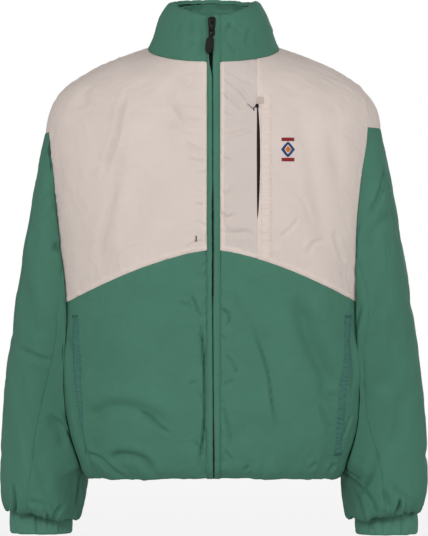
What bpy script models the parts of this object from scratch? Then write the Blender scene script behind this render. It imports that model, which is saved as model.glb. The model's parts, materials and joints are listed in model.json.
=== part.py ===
"""A zip-front, lightly padded jacket with a stand collar, in the shape it has when worn.

Run it with:  blender --background --python part.py

Frame: metres, +Z up. The front faces -Y and the wearer's left is +X. The origin is where the wearer
carries the jacket: the middle of the neck, level with the points where the shoulders meet the collar.
The tables below are in millimetres, and every wall is laid on one of three surfaces: the body, a
sleeve or the collar. A piece is a stretch of such a surface between its seams, given a thickness.
"""

import math
from collections import namedtuple

import bpy
import numpy as np

MM = 0.001

# Driving dimensions, in millimetres.
SHELL = 2.5  # body and sleeve wall: outer cloth, thin padding and lining together
COLLAR_WALL = 3.0  # the collar's outer layer carries more padding
FACING_WALL = 2.0
BAND_WALL = 2.0
SEAM_GAP = 0.3  # clear space between two pieces along a seam
INNER_SEAM_GAP = 1.0  # the same on the inside, where the walls lean together round a corner
SLEEVE_INNER_GAP = 2.4  # the same inside a sleeve, which is bent more sharply
LAYER_GAP = 0.4  # clear space between two pieces that lie on each other
HIDDEN_GAP = 0.6  # the same behind a panel, whose flat facets cut a little inside its curve
BAND_INNER_X = 1.1  # the two zip bands leave the teeth this much room each side of the centre
BAND_OUTER_X = 8.6
BAND_RAISE = 0.6
YOKE_CENTRE_Z = -291.0  # the colour seam at the zip. It falls towards the armholes
YOKE_BEND = 1.4
UNDERARM_LEVEL = -400.0
SHOULDER_TIP_LEVEL = {"right": -72.0, "left": -57.0}  # the right sleeve is set a little lower
NECK_LEVEL = 2.0
HEM_LEVEL = -640.0
ARMHOLE_FRONT_ANGLE = {"right": math.radians(18), "left": math.radians(32)}
ARMHOLE_BACK_ANGLE = math.radians(30)
ARMHOLE_DEPTH = {"right": 58.0, "left": 87.0, "back": 76.0}  # its reach forwards and backwards
ARMHOLE_SQUARENESS = 0.55, 0.9  # under 1 is straighter than an ellipse: upper and lower half
SLEEVE_TWIST = {"right": math.radians(45), "left": math.radians(19)}
SLEEVE_FORWARD = {"right": -5.0, "left": 11.0}  # the left sleeve hangs further to the front
SECTION_BOW = {"right": 0.1, "left": 0.85, "back": 0.5}  # how much of its bow each side takes
SLEEVE_SEAM = math.radians(108)  # the two long sleeve seams, from the top of the shoulder
CAP_END = math.radians(48)  # where the pale cap ends on the armhole, front and back
CAP_LOWER_Z = -117.0
CAP_BLUNT_END = 0.06  # the cap's ends are this share of a station high, not points
ARM_CLEARANCE = 3.5  # the sleeve hangs this far off the body's side
CHEST_SEAM_X = 61.8
CHEST_SLIT = (-84.0, -246.0)  # top and bottom of the chest pocket's mouth
CHEST_SLIT_HALF_WIDTH = 2.6
CHEST_ZIP_HALF_WIDTH = 7.0
CHEST_ZIP_WALL = 1.2
CHEST_WELT_X = 73.6  # the middle of the stitched strip on the armhole side of the mouth
CHEST_WELT_WIDTH = 17.0
CHEST_WELT_Z = (-302.0, -70.0)
HAND_POCKET_X = {"right": (188.0, 201.5), "left": (178.5, 192.5)}  # at the welt's bottom and top
HAND_POCKET_Z = (-584.0, -388.0)
HAND_POCKET_WIDTH = 16.0
WELT_WALL = 1.0
WELT_GAP = 0.8
WELT_COLUMNS = 7
CUFF_DEPTH = 34.0

# Steps of the grids. The armhole's steps are shared by the body and the sleeve, so that they fit.
STEP = math.radians(12)
HALF_ARMHOLE_STEPS = 15
UNDERARM_STEPS = 3  # this many of them lie below the colour seam, on the lower panels
YOKE_STEPS = HALF_ARMHOLE_STEPS - UNDERARM_STEPS
NECK_STEPS = 6
INNER_YOKE_STEPS = 3
SHOULDER_STEPS = 5
LOWER_STEPS = 12
COLLAR_STEPS = 28

Ring = namedtuple("Ring", "level side_z front_z back_z half_width front back roundness dip")
BODY_RINGS = (
    # The dip says how a ring passes from its side height to its front and back heights: 2 is an
    # even slope, and a small one falls at once and then runs level, as a neckline does.
    #    level   side_z front_z back_z half_width front back roundness dip
    Ring(-640.0, -603.0, -598.0, -601.0, 171.0, 111.0, 103.0, 2.35, 2.0),  # turned up in the hem
    Ring(-628.0, -619.0, -614.0, -617.0, 180.0, 121.0, 113.0, 2.35, 2.0),  # lowest roll of the hem
    Ring(-612.0, -611.0, -607.0, -610.0, 188.5, 131.0, 121.0, 2.35, 2.0),
    Ring(-590.0, -590.0, -588.0, -590.0, 197.0, 138.0, 127.0, 2.35, 2.0),
    Ring(-560.0, -560.0, -560.0, -560.0, 207.0, 142.0, 130.0, 2.4, 2.0),
    Ring(-520.0, -520.0, -520.0, -520.0, 215.0, 144.0, 131.0, 2.4, 2.0),
    Ring(-460.0, -460.0, -460.0, -460.0, 219.5, 145.0, 131.0, 2.4, 2.0),
    Ring(-372.0, -372.0, -372.0, -372.0, 220.5, 146.0, 131.0, 2.4, 2.0),
    Ring(-280.0, -280.0, -280.0, -280.0, 229.5, 146.0, 132.0, 2.5, 2.0),
    Ring(-190.0, -190.0, -192.0, -190.0, 238.0, 142.0, 131.0, 2.6, 2.0),
    Ring(-120.0, -120.0, -132.0, -120.0, 242.0, 134.0, 124.0, 2.6, 2.0),
    Ring(-86.0, -86.0, -112.0, -86.0, 236.0, 127.0, 114.0, 2.6, 2.0),
    Ring(-67.0, -67.0, -98.0, -64.0, 225.0, 121.0, 105.0, 2.5, 1.9),
    Ring(-49.0, -49.0, -84.0, -43.0, 207.0, 116.0, 97.0, 2.4, 1.75),
    Ring(-31.5, -31.5, -68.0, -23.0, 180.0, 111.0, 90.0, 2.3, 1.5),
    Ring(-14.5, -14.5, -48.0, -2.0, 144.0, 106.0, 84.0, 2.2, 1.3),
    Ring(-4.0, -4.0, -34.0, 9.0, 115.0, 102.0, 79.0, 2.1, 1.1),
    Ring(2.0, 2.0, -23.0, 17.0, 95.0, 99.0, 76.0, 2.05, 1.0),  # the collar seam
)
COLLAR_RINGS = (
    Ring(0.00, 2.0, -23.0, 17.0, 95.0, 99.0, 76.0, 2.05, 1.0),
    Ring(0.15, 12.0, -12.0, 26.0, 92.5, 98.5, 76.0, 2.05, 1.1),
    Ring(0.50, 34.0, 14.0, 48.0, 86.5, 95.5, 74.0, 2.05, 1.3),
    Ring(0.80, 53.0, 37.5, 67.5, 80.0, 91.0, 70.0, 2.05, 1.6),
    Ring(0.93, 61.0, 46.5, 74.5, 75.0, 87.0, 66.5, 2.05, 1.7),
    Ring(1.00, 62.0, 47.0, 75.5, 70.0, 82.0, 62.0, 2.05, 1.7),  # rolled over the top edge
)

Station = namedtuple(
    "Station", "outer_x outer_z inner_x inner_z bow middle_y half_depth roundness"
)
SLEEVE_STATIONS = (
    # Cross-sections below the armhole. Each runs from its outer point to its inner point, and
    # they fan out from the underarm until they hang level. The bow draws the front and the back
    # of a section in towards the body, as the armhole's own curve does.
    Station(233.0, -84.0, 222.0, -386.0, 13.0, 2.0, 84.0, 2.3),
    Station(241.5, -119.0, 222.5, -400.0, 7.0, 6.0, 86.0, 2.3),
    Station(253.5, -177.0, 220.0, -414.0, 3.0, 13.0, 90.0, 2.4),
    Station(266.5, -243.0, 215.0, -429.0, 1.0, 21.0, 93.0, 2.5),
    Station(278.5, -309.0, 208.0, -447.0, 0.0, 30.0, 94.0, 2.5),
    Station(289.0, -374.0, 199.0, -470.0, 0.0, 39.0, 92.0, 2.5),
    Station(298.0, -434.0, 191.0, -499.0, 0.0, 46.0, 89.0, 2.4),
    Station(305.0, -490.0, 187.0, -530.0, 0.0, 51.0, 86.0, 2.3),
    Station(309.5, -541.0, 185.0, -564.0, 0.0, 53.0, 82.0, 2.2),
    Station(312.0, -588.0, 184.0, -600.0, 0.0, 52.0, 79.0, 2.1),
    Station(313.0, -628.0, 185.5, -634.0, 0.0, 50.0, 77.0, 2.1),
    Station(309.5, -655.0, 190.0, -664.0, 0.0, 48.0, 72.0, 2.1),
    Station(303.0, -671.0, 197.0, -681.0, 0.0, 47.0, 60.0, 2.1),  # lowest roll over the cuff
    Station(296.5, -666.0, 208.5, -672.0, 0.0, 46.0, 36.0, 2.1),  # the cuff seam
)
CUFF_ROWS = (
    # drop below the cuff seam, and the growth of both half-axes there
    (0.0, 0.0),
    (0.25, 1.3),
    (0.8, 1.5),
    (1.0, 0.4),
)

Fold = namedtuple("Fold", "x0 z0 x1 z1 width height")
FRONT_FOLDS = (
    # Long soft folds as the front view shows them. A negative height is a trough.
    Fold(-128.0, -108.0, -176.0, -200.0, 9.0, -3.0),
    Fold(-112.0, -110.0, -142.0, -330.0, 16.0, 2.5),
    Fold(-30.0, -60.0, -95.0, -150.0, 14.0, -2.0),
    Fold(150.0, -60.0, 190.0, -250.0, 16.0, 2.5),
    Fold(118.0, -70.0, 165.0, -330.0, 14.0, -2.5),
    Fold(-176.0, -535.0, -120.0, -508.0, 13.0, -3.5),
    Fold(-120.0, -508.0, -62.0, -540.0, 14.0, -3.5),
    Fold(-120.0, -540.0, -75.0, -600.0, 11.0, -3.0),
    Fold(-170.0, -440.0, -156.0, -592.0, 12.0, -2.5),
    Fold(66.0, -470.0, 84.0, -600.0, 13.0, -2.5),
    Fold(120.0, -330.0, 160.0, -545.0, 18.0, -3.5),
    Fold(30.0, -330.0, 75.0, -420.0, 16.0, 2.5),
    Fold(-40.0, -500.0, -14.0, -590.0, 9.0, -2.5),
    Fold(14.0, -480.0, 34.0, -590.0, 8.0, -2.5),
)
BACK_FOLDS = (
    Fold(-150.0, -120.0, -110.0, -330.0, 18.0, 3.0),
    Fold(150.0, -120.0, 105.0, -340.0, 18.0, 3.0),
    Fold(-60.0, -380.0, -120.0, -590.0, 20.0, -3.5),
    Fold(70.0, -360.0, 115.0, -590.0, 20.0, -3.5),
    Fold(-10.0, -420.0, 15.0, -600.0, 16.0, 3.0),
)
SLEEVE_FOLDS = {
    # Distance along the sleeve is counted in stations, and the turn in degrees round it.
    "right": (
        (5.0, 60.0, 6.6, 120.0, 0.32, -4.5),
        (6.8, 60.0, 8.6, 118.0, 0.34, -4.5),
        (7.5, 150.0, 9.0, 100.0, 0.30, -4.0),
        (5.2, 200.0, 7.4, 290.0, 0.40, -4.5),
        (7.6, 230.0, 9.2, 320.0, 0.36, -4.0),
    ),
    "left": (
        (3.0, 70.0, 4.4, 30.0, 0.36, -3.5),
        (7.2, 150.0, 9.0, 105.0, 0.34, -4.5),
        (8.8, 100.0, 7.6, 50.0, 0.32, -3.5),
        (5.0, 210.0, 7.0, 300.0, 0.40, -4.5),
        (7.4, 240.0, 9.0, 330.0, 0.36, -4.0),
    ),
}
SLEEVE_GATHERS = ((7, 0.4, 2.2), (5, 2.1, 1.6))  # waves round the wrist, phase, height
HEM_GATHERS = ((15, 0.7, 1.5), (9, 2.6, 1.2))

SIDES = {"right": -1, "left": 1}


def through(stations, values, at):
    """Cubic curve through table values, with each tangent taken from the neighbouring rows."""
    stations = np.asarray(stations, float)
    values = np.asarray(values, float)
    slopes = np.gradient(values, stations, axis=0)
    at = np.clip(at, stations[0], stations[-1])
    row = np.clip(np.searchsorted(stations, at, side="right") - 1, 0, len(stations) - 2)
    length = stations[row + 1] - stations[row]
    t = (at - stations[row]) / length
    return (
        values[row] * (1 + 2 * t) * (1 - t) ** 2
        + values[row + 1] * t * t * (3 - 2 * t)
        + slopes[row] * length * t * (1 - t) ** 2
        - slopes[row + 1] * length * t * t * (1 - t)
    )


def signed_power(value, power):
    return np.sign(value) * np.abs(value) ** power


def cross_unit(a, b):
    normal = np.cross(a, b)
    return normal / np.maximum(np.linalg.norm(normal, axis=-1, keepdims=True), 1e-9)


def ring_values(rings, level):
    """Every column of a ring table at these levels, as a Ring of arrays."""
    levels = [ring.level for ring in rings]
    return Ring(*(through(levels, column, level) for column in zip(*rings)))


def ring_point(rings, angle, level):
    """Point of a ring surface. The angle is 0 at the wearer's left side, a quarter turn at the
    centre front, minus a quarter turn at the centre back and a half turn at the right side."""
    angle, level = np.broadcast_arrays(np.asarray(angle, float), np.asarray(level, float))
    ring = ring_values(rings, level)
    power = 2 / ring.roundness
    forward = np.sin(angle)
    depth = np.where(forward > 0, ring.front, ring.back)
    end_z = np.where(forward > 0, ring.front_z, ring.back_z)
    return np.stack(
        [
            ring.half_width * signed_power(np.cos(angle), power),
            -depth * signed_power(forward, power),
            ring.side_z + (end_z - ring.side_z) * np.abs(forward) ** ring.dip,
        ],
        axis=-1,
    )


def ring_normal(rings, angle, level, level_step):
    turned = ring_point(rings, angle + 0.02, level) - ring_point(rings, angle - 0.02, level)
    raised = ring_point(rings, angle, level + level_step) - ring_point(
        rings, angle, level - level_step
    )
    return cross_unit(raised, turned)


def fold_height(folds, across, along):
    """Height of a set of straight soft folds at these places, fading towards each fold's ends."""
    height = np.zeros(np.shape(across))
    for start_x, start_z, end_x, end_z, width, depth in folds:
        run = np.hypot(end_x - start_x, end_z - start_z)
        direction = ((end_x - start_x) / run, (end_z - start_z) / run)
        ahead = ((across - start_x) * direction[0] + (along - start_z) * direction[1]) / run
        beside = (across - start_x) * direction[1] - (along - start_z) * direction[0]
        fade = np.exp(-(((ahead - 0.5) / 0.42) ** 4))
        height += depth * fade * np.exp(-((beside / width) ** 2))
    return height


def waves(turn, gathers):
    return sum(height * np.cos(count * turn + phase) for count, phase, height in gathers)


def from_armhole(angle, level):
    """Rough distance, in millimetres, from a place on the body to the nearest armhole."""
    on_right = np.cos(angle) < 0
    tip = np.where(on_right, SHOULDER_TIP_LEVEL["right"], SHOULDER_TIP_LEVEL["left"])
    middle = (tip + UNDERARM_LEVEL) / 2
    share = np.clip(np.abs(level - middle) / (tip - middle), 0, 1)
    front = np.where(on_right, ARMHOLE_FRONT_ANGLE["right"], ARMHOLE_FRONT_ANGLE["left"])
    widest = np.where(np.sin(angle) > 0, front, ARMHOLE_BACK_ANGLE)
    upper, lower = ARMHOLE_SQUARENESS
    bow = widest * (1 - share**2) ** (np.where(level > middle, upper, lower) / 2)
    from_side = np.abs(np.arcsin(np.clip(np.sin(angle), -1, 1)))
    below = np.clip(UNDERARM_LEVEL - level, 0, None)
    return np.clip(from_side - bow, 0, None) * 200 + below


def body_relief(point, normal, angle, level):
    """Folds of the body's cloth, and the gathers that its elastic hem draws up."""
    front_share = np.clip(-1.6 * normal[..., 1], 0, 1)
    back_share = np.clip(1.6 * normal[..., 1], 0, 1)
    across, along = point[..., 0], point[..., 2]
    folds = front_share * fold_height(FRONT_FOLDS, across, along)
    folds = folds + back_share * fold_height(BACK_FOLDS, across, along)
    near_hem = np.exp(-(((level + 606) / 34) ** 2)) * np.clip((level - HEM_LEVEL) / 12, 0, 1)
    near_zip = np.clip((np.abs(across) - BAND_OUTER_X) / 20, 0, 1)
    near_neck = np.clip((NECK_LEVEL - level) / 30, 0, 1)
    near_armhole = np.clip(from_armhole(angle, level) / 35, 0, 1)
    folds = folds * near_neck * near_armhole
    return (folds + near_hem * waves(angle, HEM_GATHERS)) * near_zip


def body_point(angle, level, out=0.0):
    """Point on the body's cloth, moved out by this many millimetres."""
    point = ring_point(BODY_RINGS, angle, level)
    normal = ring_normal(BODY_RINGS, angle, level, 1.0)
    relief = body_relief(point, normal, angle, level)
    return point + normal * (relief + out)[..., None]


def collar_point(angle, level, out=0.0):
    normal = ring_normal(COLLAR_RINGS, angle, level, 0.02)
    return ring_point(COLLAR_RINGS, angle, level) + normal * np.asarray(out)[..., None]


def angle_at(x, level, rings=BODY_RINGS):
    """Angle of the point of a ring that lies this far from the centre, on the front."""
    ring = ring_values(rings, level)
    share = np.clip(np.abs(x) / ring.half_width, 0, 1) ** (ring.roundness / 2)
    angle = np.arccos(share)
    return np.where(np.asarray(x) < 0, math.pi - angle, angle)


def armhole(side, turn):
    """(angle, level) on the body of the armhole seam. The turn is 0 at the shoulder tip, and grows
    over the front to a half turn at the underarm and back up behind."""
    turn = np.asarray(turn, float)
    tip = SHOULDER_TIP_LEVEL[side]
    middle = (tip + UNDERARM_LEVEL) / 2
    level = middle + (tip - middle) * np.cos(turn)
    bow = signed_power(np.sin(turn), np.where(np.cos(turn) > 0, *ARMHOLE_SQUARENESS))
    angle = bow * np.where(bow > 0, ARMHOLE_FRONT_ANGLE[side], ARMHOLE_BACK_ANGLE)
    if side == "right":
        angle = math.pi - angle
    return np.stack([angle, level], axis=-1)


def across_share(angle):
    """How far across the body an angle is, from 0 at the zip to 1 at the side."""
    return np.abs(np.cos(angle)) ** (2 / 2.4)


def yoke_level(side, face, angle):
    """Height of the colour seam, which falls from the centre to the armhole, front and back."""
    turn = math.pi - face * STEP * UNDERARM_STEPS
    end_angle, end_level = armhole(side, turn)
    share = across_share(angle) / across_share(end_angle)
    return YOKE_CENTRE_Z + (end_level - YOKE_CENTRE_Z) * share**YOKE_BEND


def clear_of_body(side, point, turn, station):
    """Keeps the sleeve off the body's cloth, and lays its inner side along the body's side."""
    sign = SIDES[side]
    forward = point[..., 1] < 0
    flat = ring_values(BODY_RINGS, np.clip(point[..., 2], -606, NECK_LEVEL))
    depth = np.where(forward, flat.front, flat.back)
    fall = flat.side_z - np.where(forward, flat.front_z, flat.back_z)
    level = point[..., 2] + fall * np.clip(np.abs(point[..., 1]) / depth, 0, 1) ** 2
    ring = ring_values(BODY_RINGS, np.clip(level, -606, NECK_LEVEL))
    depth = np.where(forward, ring.front, ring.back)
    share = np.clip(np.abs(point[..., 1]) / depth, 0, 0.999) ** ring.roundness
    wall_x = ring.half_width * (1 - share) ** (1 / ring.roundness)
    wall_x = wall_x + ARM_CLEARANCE * np.clip(station / 1.2, 0, 1)
    from_side = np.arcsin(share**0.5) * np.where(forward, 1, -1)
    angle = from_side if side == "left" else math.pi - from_side
    beside_cloth = np.clip(from_armhole(angle, level) / 6 + 0.5, 0, 1)
    x = sign * point[..., 0]
    spare = x - wall_x
    facing_body = np.clip(-1.5 * np.cos(turn), 0, 1)
    hugged = x - 0.75 * facing_body * np.clip(spare, 0, None) * np.exp(-((spare / 14) ** 2))
    pushed = (hugged + wall_x + np.sqrt((hugged - wall_x) ** 2 + 4)) / 2
    settled = beside_cloth * np.clip(station / 0.5, 0, 1)
    settled = settled * np.clip((point[..., 2] + 640) / 25, 0, 1)
    moved = point.copy()
    moved[..., 0] = sign * (x * (1 - settled) + pushed * settled)
    return moved


def section(number, turn, side):
    """Points of one of the sleeve's cross-sections. The first ones are as deep as the armhole."""
    row = SLEEVE_STATIONS[number - 1]
    sign = SIDES[side]
    settled = min(number / 5, 1)
    middle_y = (row.middle_y - SLEEVE_FORWARD[side]) * settled
    armhole_depth = np.where(np.sin(turn) > 0, ARMHOLE_DEPTH[side], ARMHOLE_DEPTH["back"])
    depth = armhole_depth * (1 - settled) + row.half_depth * settled
    across = signed_power(np.cos(turn), 2 / row.roundness)
    forward = signed_power(np.sin(turn), 2 / row.roundness)
    half_x = (row.outer_x - row.inner_x) / 2
    half_z = (row.outer_z - row.inner_z) / 2
    bow = row.bow * np.where(np.sin(turn) > 0, SECTION_BOW[side], SECTION_BOW["back"])
    return np.stack(
        [
            sign * (row.inner_x + half_x * (1 + across) - bow * np.sin(turn) ** 2),
            middle_y - depth * forward,
            row.inner_z + half_z * (1 + across),
        ],
        axis=-1,
    )


def sleeve_skin(side, turn, station):
    """Point of a sleeve without its folds. Station 0 is the armhole, and the last the cuff seam.
    The seams twist round the arm as they go down it, and more on the right sleeve."""
    turn, station = np.broadcast_arrays(np.asarray(turn, float), np.asarray(station, float))
    seam = armhole(side, turn)
    twisted = turn - SLEEVE_TWIST[side] * (station / len(SLEEVE_STATIONS)) ** 1.2
    rows = [ring_point(BODY_RINGS, seam[..., 0], seam[..., 1])]
    rows += [section(number + 1, twisted, side) for number in range(len(SLEEVE_STATIONS))]
    rows = np.stack(rows)
    slopes = np.gradient(rows, axis=0)
    low = np.clip(np.floor(station).astype(int), 0, len(rows) - 2)
    t = (station - low)[..., None]
    here = np.indices(station.shape)
    start, end = rows[(low, *here)], rows[(low + 1, *here)]
    start_slope, end_slope = slopes[(low, *here)], slopes[(low + 1, *here)]
    point = (
        start * (1 + 2 * t) * (1 - t) ** 2
        + end * t * t * (3 - 2 * t)
        + start_slope * t * (1 - t) ** 2
        - end_slope * t * t * (1 - t)
    )
    return clear_of_body(side, point, twisted, station)


def sleeve_normal(side, turn, station):
    """Direction out of the sleeve's cloth. Over the shoulder it starts as the body's own, so that
    the two walls meet round the corner."""
    last = len(SLEEVE_STATIONS)
    over = sleeve_skin(side, turn + 0.08, station) - sleeve_skin(side, turn - 0.08, station)
    down = sleeve_skin(side, turn, np.minimum(station + 0.3, last))
    down = down - sleeve_skin(side, turn, np.maximum(station - 0.3, 0))
    normal = cross_unit(over, down) * SIDES[side]
    seam = armhole(side, turn)
    body_normal = ring_normal(BODY_RINGS, seam[..., 0], seam[..., 1], 1.0)
    over_shoulder = np.clip(np.cos(turn) / 0.4, 0, 1)
    share = (over_shoulder * np.clip(1 - station / 0.6, 0, 1))[..., None]
    lean = normal * (1 - share) + body_normal * share
    return lean / np.linalg.norm(lean, axis=-1, keepdims=True)


def sleeve_point(side, turn, station, out=0.0):
    """Point on a sleeve's cloth, with its folds and the gathers over the cuff."""
    turn, station = np.broadcast_arrays(np.asarray(turn, float), np.asarray(station, float))
    last = len(SLEEVE_STATIONS)
    normal = sleeve_normal(side, turn, station)
    hundreds = np.degrees(turn) % 360 / 100
    folds = [
        (turn0 / 100, at0, turn1 / 100, at1, width, height)
        for at0, turn0, at1, turn1, width, height in SLEEVE_FOLDS[side]
    ]
    gathered = np.exp(-(((station - last + 1.7) / 1.2) ** 2)) * np.clip(last - station, 0, 1)
    relief = fold_height(folds, hundreds, station) + gathered * waves(turn, SLEEVE_GATHERS)
    relief = relief * np.clip(station / 1.5, 0, 1)
    cloth = sleeve_skin(side, turn, station) + normal * relief[..., None]
    return clear_of_body(side, cloth, turn, station) + normal * np.asarray(out)[..., None]


def cap_station(side, turn):
    """Station at which the pale cap ends: where the sleeve has come down to CAP_LOWER_Z."""
    low = np.zeros_like(turn)
    high = np.full_like(turn, 4.0)
    for _ in range(24):
        middle = (low + high) / 2
        above = sleeve_skin(side, turn, middle)[..., 2] > CAP_LOWER_Z
        low = np.where(above, middle, low)
        high = np.where(above, high, middle)
    return np.where(np.abs(turn) < CAP_END + 1e-6, np.maximum(low, CAP_BLUNT_END), 0.0)


def patch(bottom, top, left, right):
    """A grid between four edges of (angle, level) rows: a Coons patch."""
    u = np.linspace(0, 1, len(bottom))[:, None, None]
    v = np.linspace(0, 1, len(left))[None, :, None]
    lengthwise = (1 - v) * bottom[:, None] + v * top[:, None]
    crosswise = (1 - u) * left[None] + u * right[None]
    corners = (1 - u) * ((1 - v) * bottom[0] + v * top[0])
    corners = corners + u * ((1 - v) * bottom[-1] + v * top[-1])
    return lengthwise + crosswise - corners


def trimmed(grid, surface, gap):
    """Pulls the grid's four edges in by half of this gap, so that neighbours stand apart."""
    grid = grid.copy()
    for axis in (0, 1):
        flat = np.moveaxis(grid, axis, 0)
        for edge, inside in ((0, 1), (-1, -2)):
            step = surface(flat[edge, :, 0], flat[edge, :, 1])
            step = step - surface(flat[inside, :, 0], flat[inside, :, 1])
            share = gap / 2 / np.maximum(np.linalg.norm(step, axis=-1), 1.0)
            flat[edge] += (flat[inside] - flat[edge]) * share[:, None]
    return grid


def wall_object(name, outer, inner, material, closed=False):
    """A closed wall between two equal grids of points. A closed grid joins its last row to its first."""
    rows, columns = outer.shape[:2]
    index = np.arange(rows * columns).reshape(rows, columns)
    if closed:
        index = np.concatenate([index, index[:1]])
    under = index + rows * columns
    ring = np.concatenate([outer, outer[:1]]) if closed else outer
    diagonal = np.linalg.norm(ring[1:, 1:] - ring[:-1, :-1], axis=-1)
    longer = diagonal > np.linalg.norm(ring[1:, :-1] - ring[:-1, 1:], axis=-1)
    faces = []
    for i in range(index.shape[0] - 1):
        for j in range(columns - 1):
            corners = [(i, j), (i + 1, j), (i + 1, j + 1), (i, j + 1)]
            if longer[i, j]:
                corners = corners[1:] + corners[:1]
            faces.append([int(index[c]) for c in corners])
            faces.append([int(under[c]) for c in corners[:1] + corners[:0:-1]])
    border = [[(i, 0), (i + 1, 0)] for i in range(index.shape[0] - 1)]
    border += [[(i + 1, columns - 1), (i, columns - 1)] for i in range(index.shape[0] - 1)]
    if not closed:
        border += [[(0, j + 1), (0, j)] for j in range(columns - 1)]
        border += [[(rows - 1, j), (rows - 1, j + 1)] for j in range(columns - 1)]
    for a, b in border:
        faces.append([int(index[b]), int(index[a]), int(under[a]), int(under[b])])
    points = np.concatenate([outer.reshape(-1, 3), inner.reshape(-1, 3)]) * MM
    return mesh_object(name, points, faces, material)


def mesh_object(name, points, faces, material):
    """A mesh object with its faces turned outwards."""
    corners = points[[face[:3] for face in faces]]
    others = points[[[face[0], face[2], face[-1]] for face in faces]]
    volume = np.linalg.det(corners).sum() + np.linalg.det(others).sum()
    if volume < 0:
        faces = [face[::-1] for face in faces]
    mesh = bpy.data.meshes.new(name)
    mesh.from_pydata(points.tolist(), [], faces)
    mesh.shade_smooth()
    mesh.set_sharp_from_angle(angle=math.radians(40))
    return place(bpy.data.objects.new(name, mesh), material)


def place(thing, material):
    thing.data.materials.append(material)
    bpy.data.collections["Jacket"].objects.link(thing)
    return thing


def cloth_piece(
    name, grid, surface, thickness, material, raised=0.0, inner_gap=INNER_SEAM_GAP
):
    """A piece of cloth over a grid of surface places, trimmed to its seams. The wall's direction is
    taken at the untrimmed places, so that two pieces meet with parallel edges."""
    across, along = grid[..., 0], grid[..., 1]
    through_wall = surface(across, along, raised) - surface(across, along, raised - thickness)
    face = trimmed(grid, surface, SEAM_GAP)
    lining = trimmed(grid, surface, inner_gap)
    outer = surface(face[..., 0], face[..., 1], raised)
    inner = surface(lining[..., 0], lining[..., 1], raised) - through_wall
    wall_object(name, outer, inner, material)
    return outer, inner


def make_material(name, colour, roughness, metallic=0.0):
    material = bpy.data.materials.new(name)
    material.use_nodes = True
    shader = material.node_tree.nodes["Principled BSDF"]
    shader.inputs["Base Color"].default_value = (*colour, 1.0)
    shader.inputs["Roughness"].default_value = roughness
    shader.inputs["Metallic"].default_value = metallic
    return material


def edge(*columns):
    """An edge of a patch: rows of (angle, level) from two columns, either of which may be one value."""
    return np.stack(np.broadcast_arrays(*columns), axis=-1).astype(float)


def mirrored(side, rows):
    """The same places on the wearer's right, where angles run the other way."""
    if side == "left":
        return rows
    rows = rows.copy()
    rows[..., 0] = math.pi - rows[..., 0]
    return rows


def upright_edge(x, steps):
    """A line that stands at one distance from the centre, from the colour seam to the collar."""
    low_level = YOKE_CENTRE_Z
    for _ in range(4):
        low_level = yoke_level("left", 1, angle_at(x, low_level))
    levels = low_level + (NECK_LEVEL - low_level) * np.linspace(0, 1, steps + 1)
    return edge(angle_at(x, levels), levels)


def armhole_edge(side, face, first_step, last_step):
    """A stretch of the armhole in steps from the underarm up, on the front (face 1) or the back
    (face -1), with its angles counted as on the left."""
    rows = armhole(side, math.pi - face * STEP * np.arange(first_step, last_step + 1))
    if side == "right":
        rows[:, 0] = math.pi - rows[:, 0]
    return rows


def yoke_bottom(side, face, first_angle, steps):
    """The colour seam from an angle out to the armhole."""
    end_angle = armhole_edge(side, face, UNDERARM_STEPS, UNDERARM_STEPS)[0, 0]
    angles = np.linspace(first_angle, end_angle, steps + 1)
    seam_angles = math.pi - angles if side == "right" else angles
    return edge(angles, yoke_level(side, face, seam_angles))


def yoke_top(side, first_angle, neck_steps):
    """The collar seam from an angle to the shoulder, then the shoulder seam out to its tip."""
    neck = edge(np.linspace(first_angle, 0, neck_steps + 1), NECK_LEVEL)
    shoulder_levels = np.linspace(NECK_LEVEL, SHOULDER_TIP_LEVEL[side], SHOULDER_STEPS + 1)[1:]
    return np.concatenate([neck, edge(0.0, shoulder_levels)])


def front_yoke_bottom(side):
    """The front's colour seam. The left one has a point at the chest pocket's seam."""
    centre = upright_edge(BAND_OUTER_X, 1)[0, 0]
    steps = NECK_STEPS + SHOULDER_STEPS
    if side == "right":
        return yoke_bottom(side, 1, centre, steps)
    pocket = upright_edge(CHEST_SEAM_X, 1)[0, 0]
    inner = np.linspace(centre, pocket, INNER_YOKE_STEPS + 1)
    outer = yoke_bottom(side, 1, pocket, steps - INNER_YOKE_STEPS)
    return np.concatenate([edge(inner, yoke_level(side, 1, inner)), outer[1:]])


def front_yokes(pale):
    """The pale upper fronts. The left one is cut in two at the chest pocket's seam."""
    centre = upright_edge(BAND_OUTER_X, YOKE_STEPS)
    sides = {side: armhole_edge(side, 1, UNDERARM_STEPS, HALF_ARMHOLE_STEPS) for side in SIDES}
    top = yoke_top("right", centre[-1, 0], NECK_STEPS)
    whole = patch(front_yoke_bottom("right"), top, centre, sides["right"])
    cloth_piece("front_yoke_right", mirrored("right", whole), body_point, SHELL, pale)

    seam = upright_edge(CHEST_SEAM_X, YOKE_STEPS)
    bottom = front_yoke_bottom("left")
    neck = np.linspace(centre[-1, 0], seam[-1, 0], INNER_YOKE_STEPS + 1)
    inner_bottom = bottom[: INNER_YOKE_STEPS + 1]
    inner = patch(inner_bottom, edge(neck, NECK_LEVEL), centre, pocket_mouth(seam, -1))
    cloth_piece("front_yoke_left_inner", inner, body_point, SHELL, pale)

    outer_top = yoke_top("left", seam[-1, 0], NECK_STEPS - INNER_YOKE_STEPS)
    outer_bottom = bottom[INNER_YOKE_STEPS:]
    outer = patch(outer_bottom, outer_top, pocket_mouth(seam, 1), sides["left"])
    return cloth_piece("front_yoke_left_outer", outer, body_point, SHELL, pale)


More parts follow.
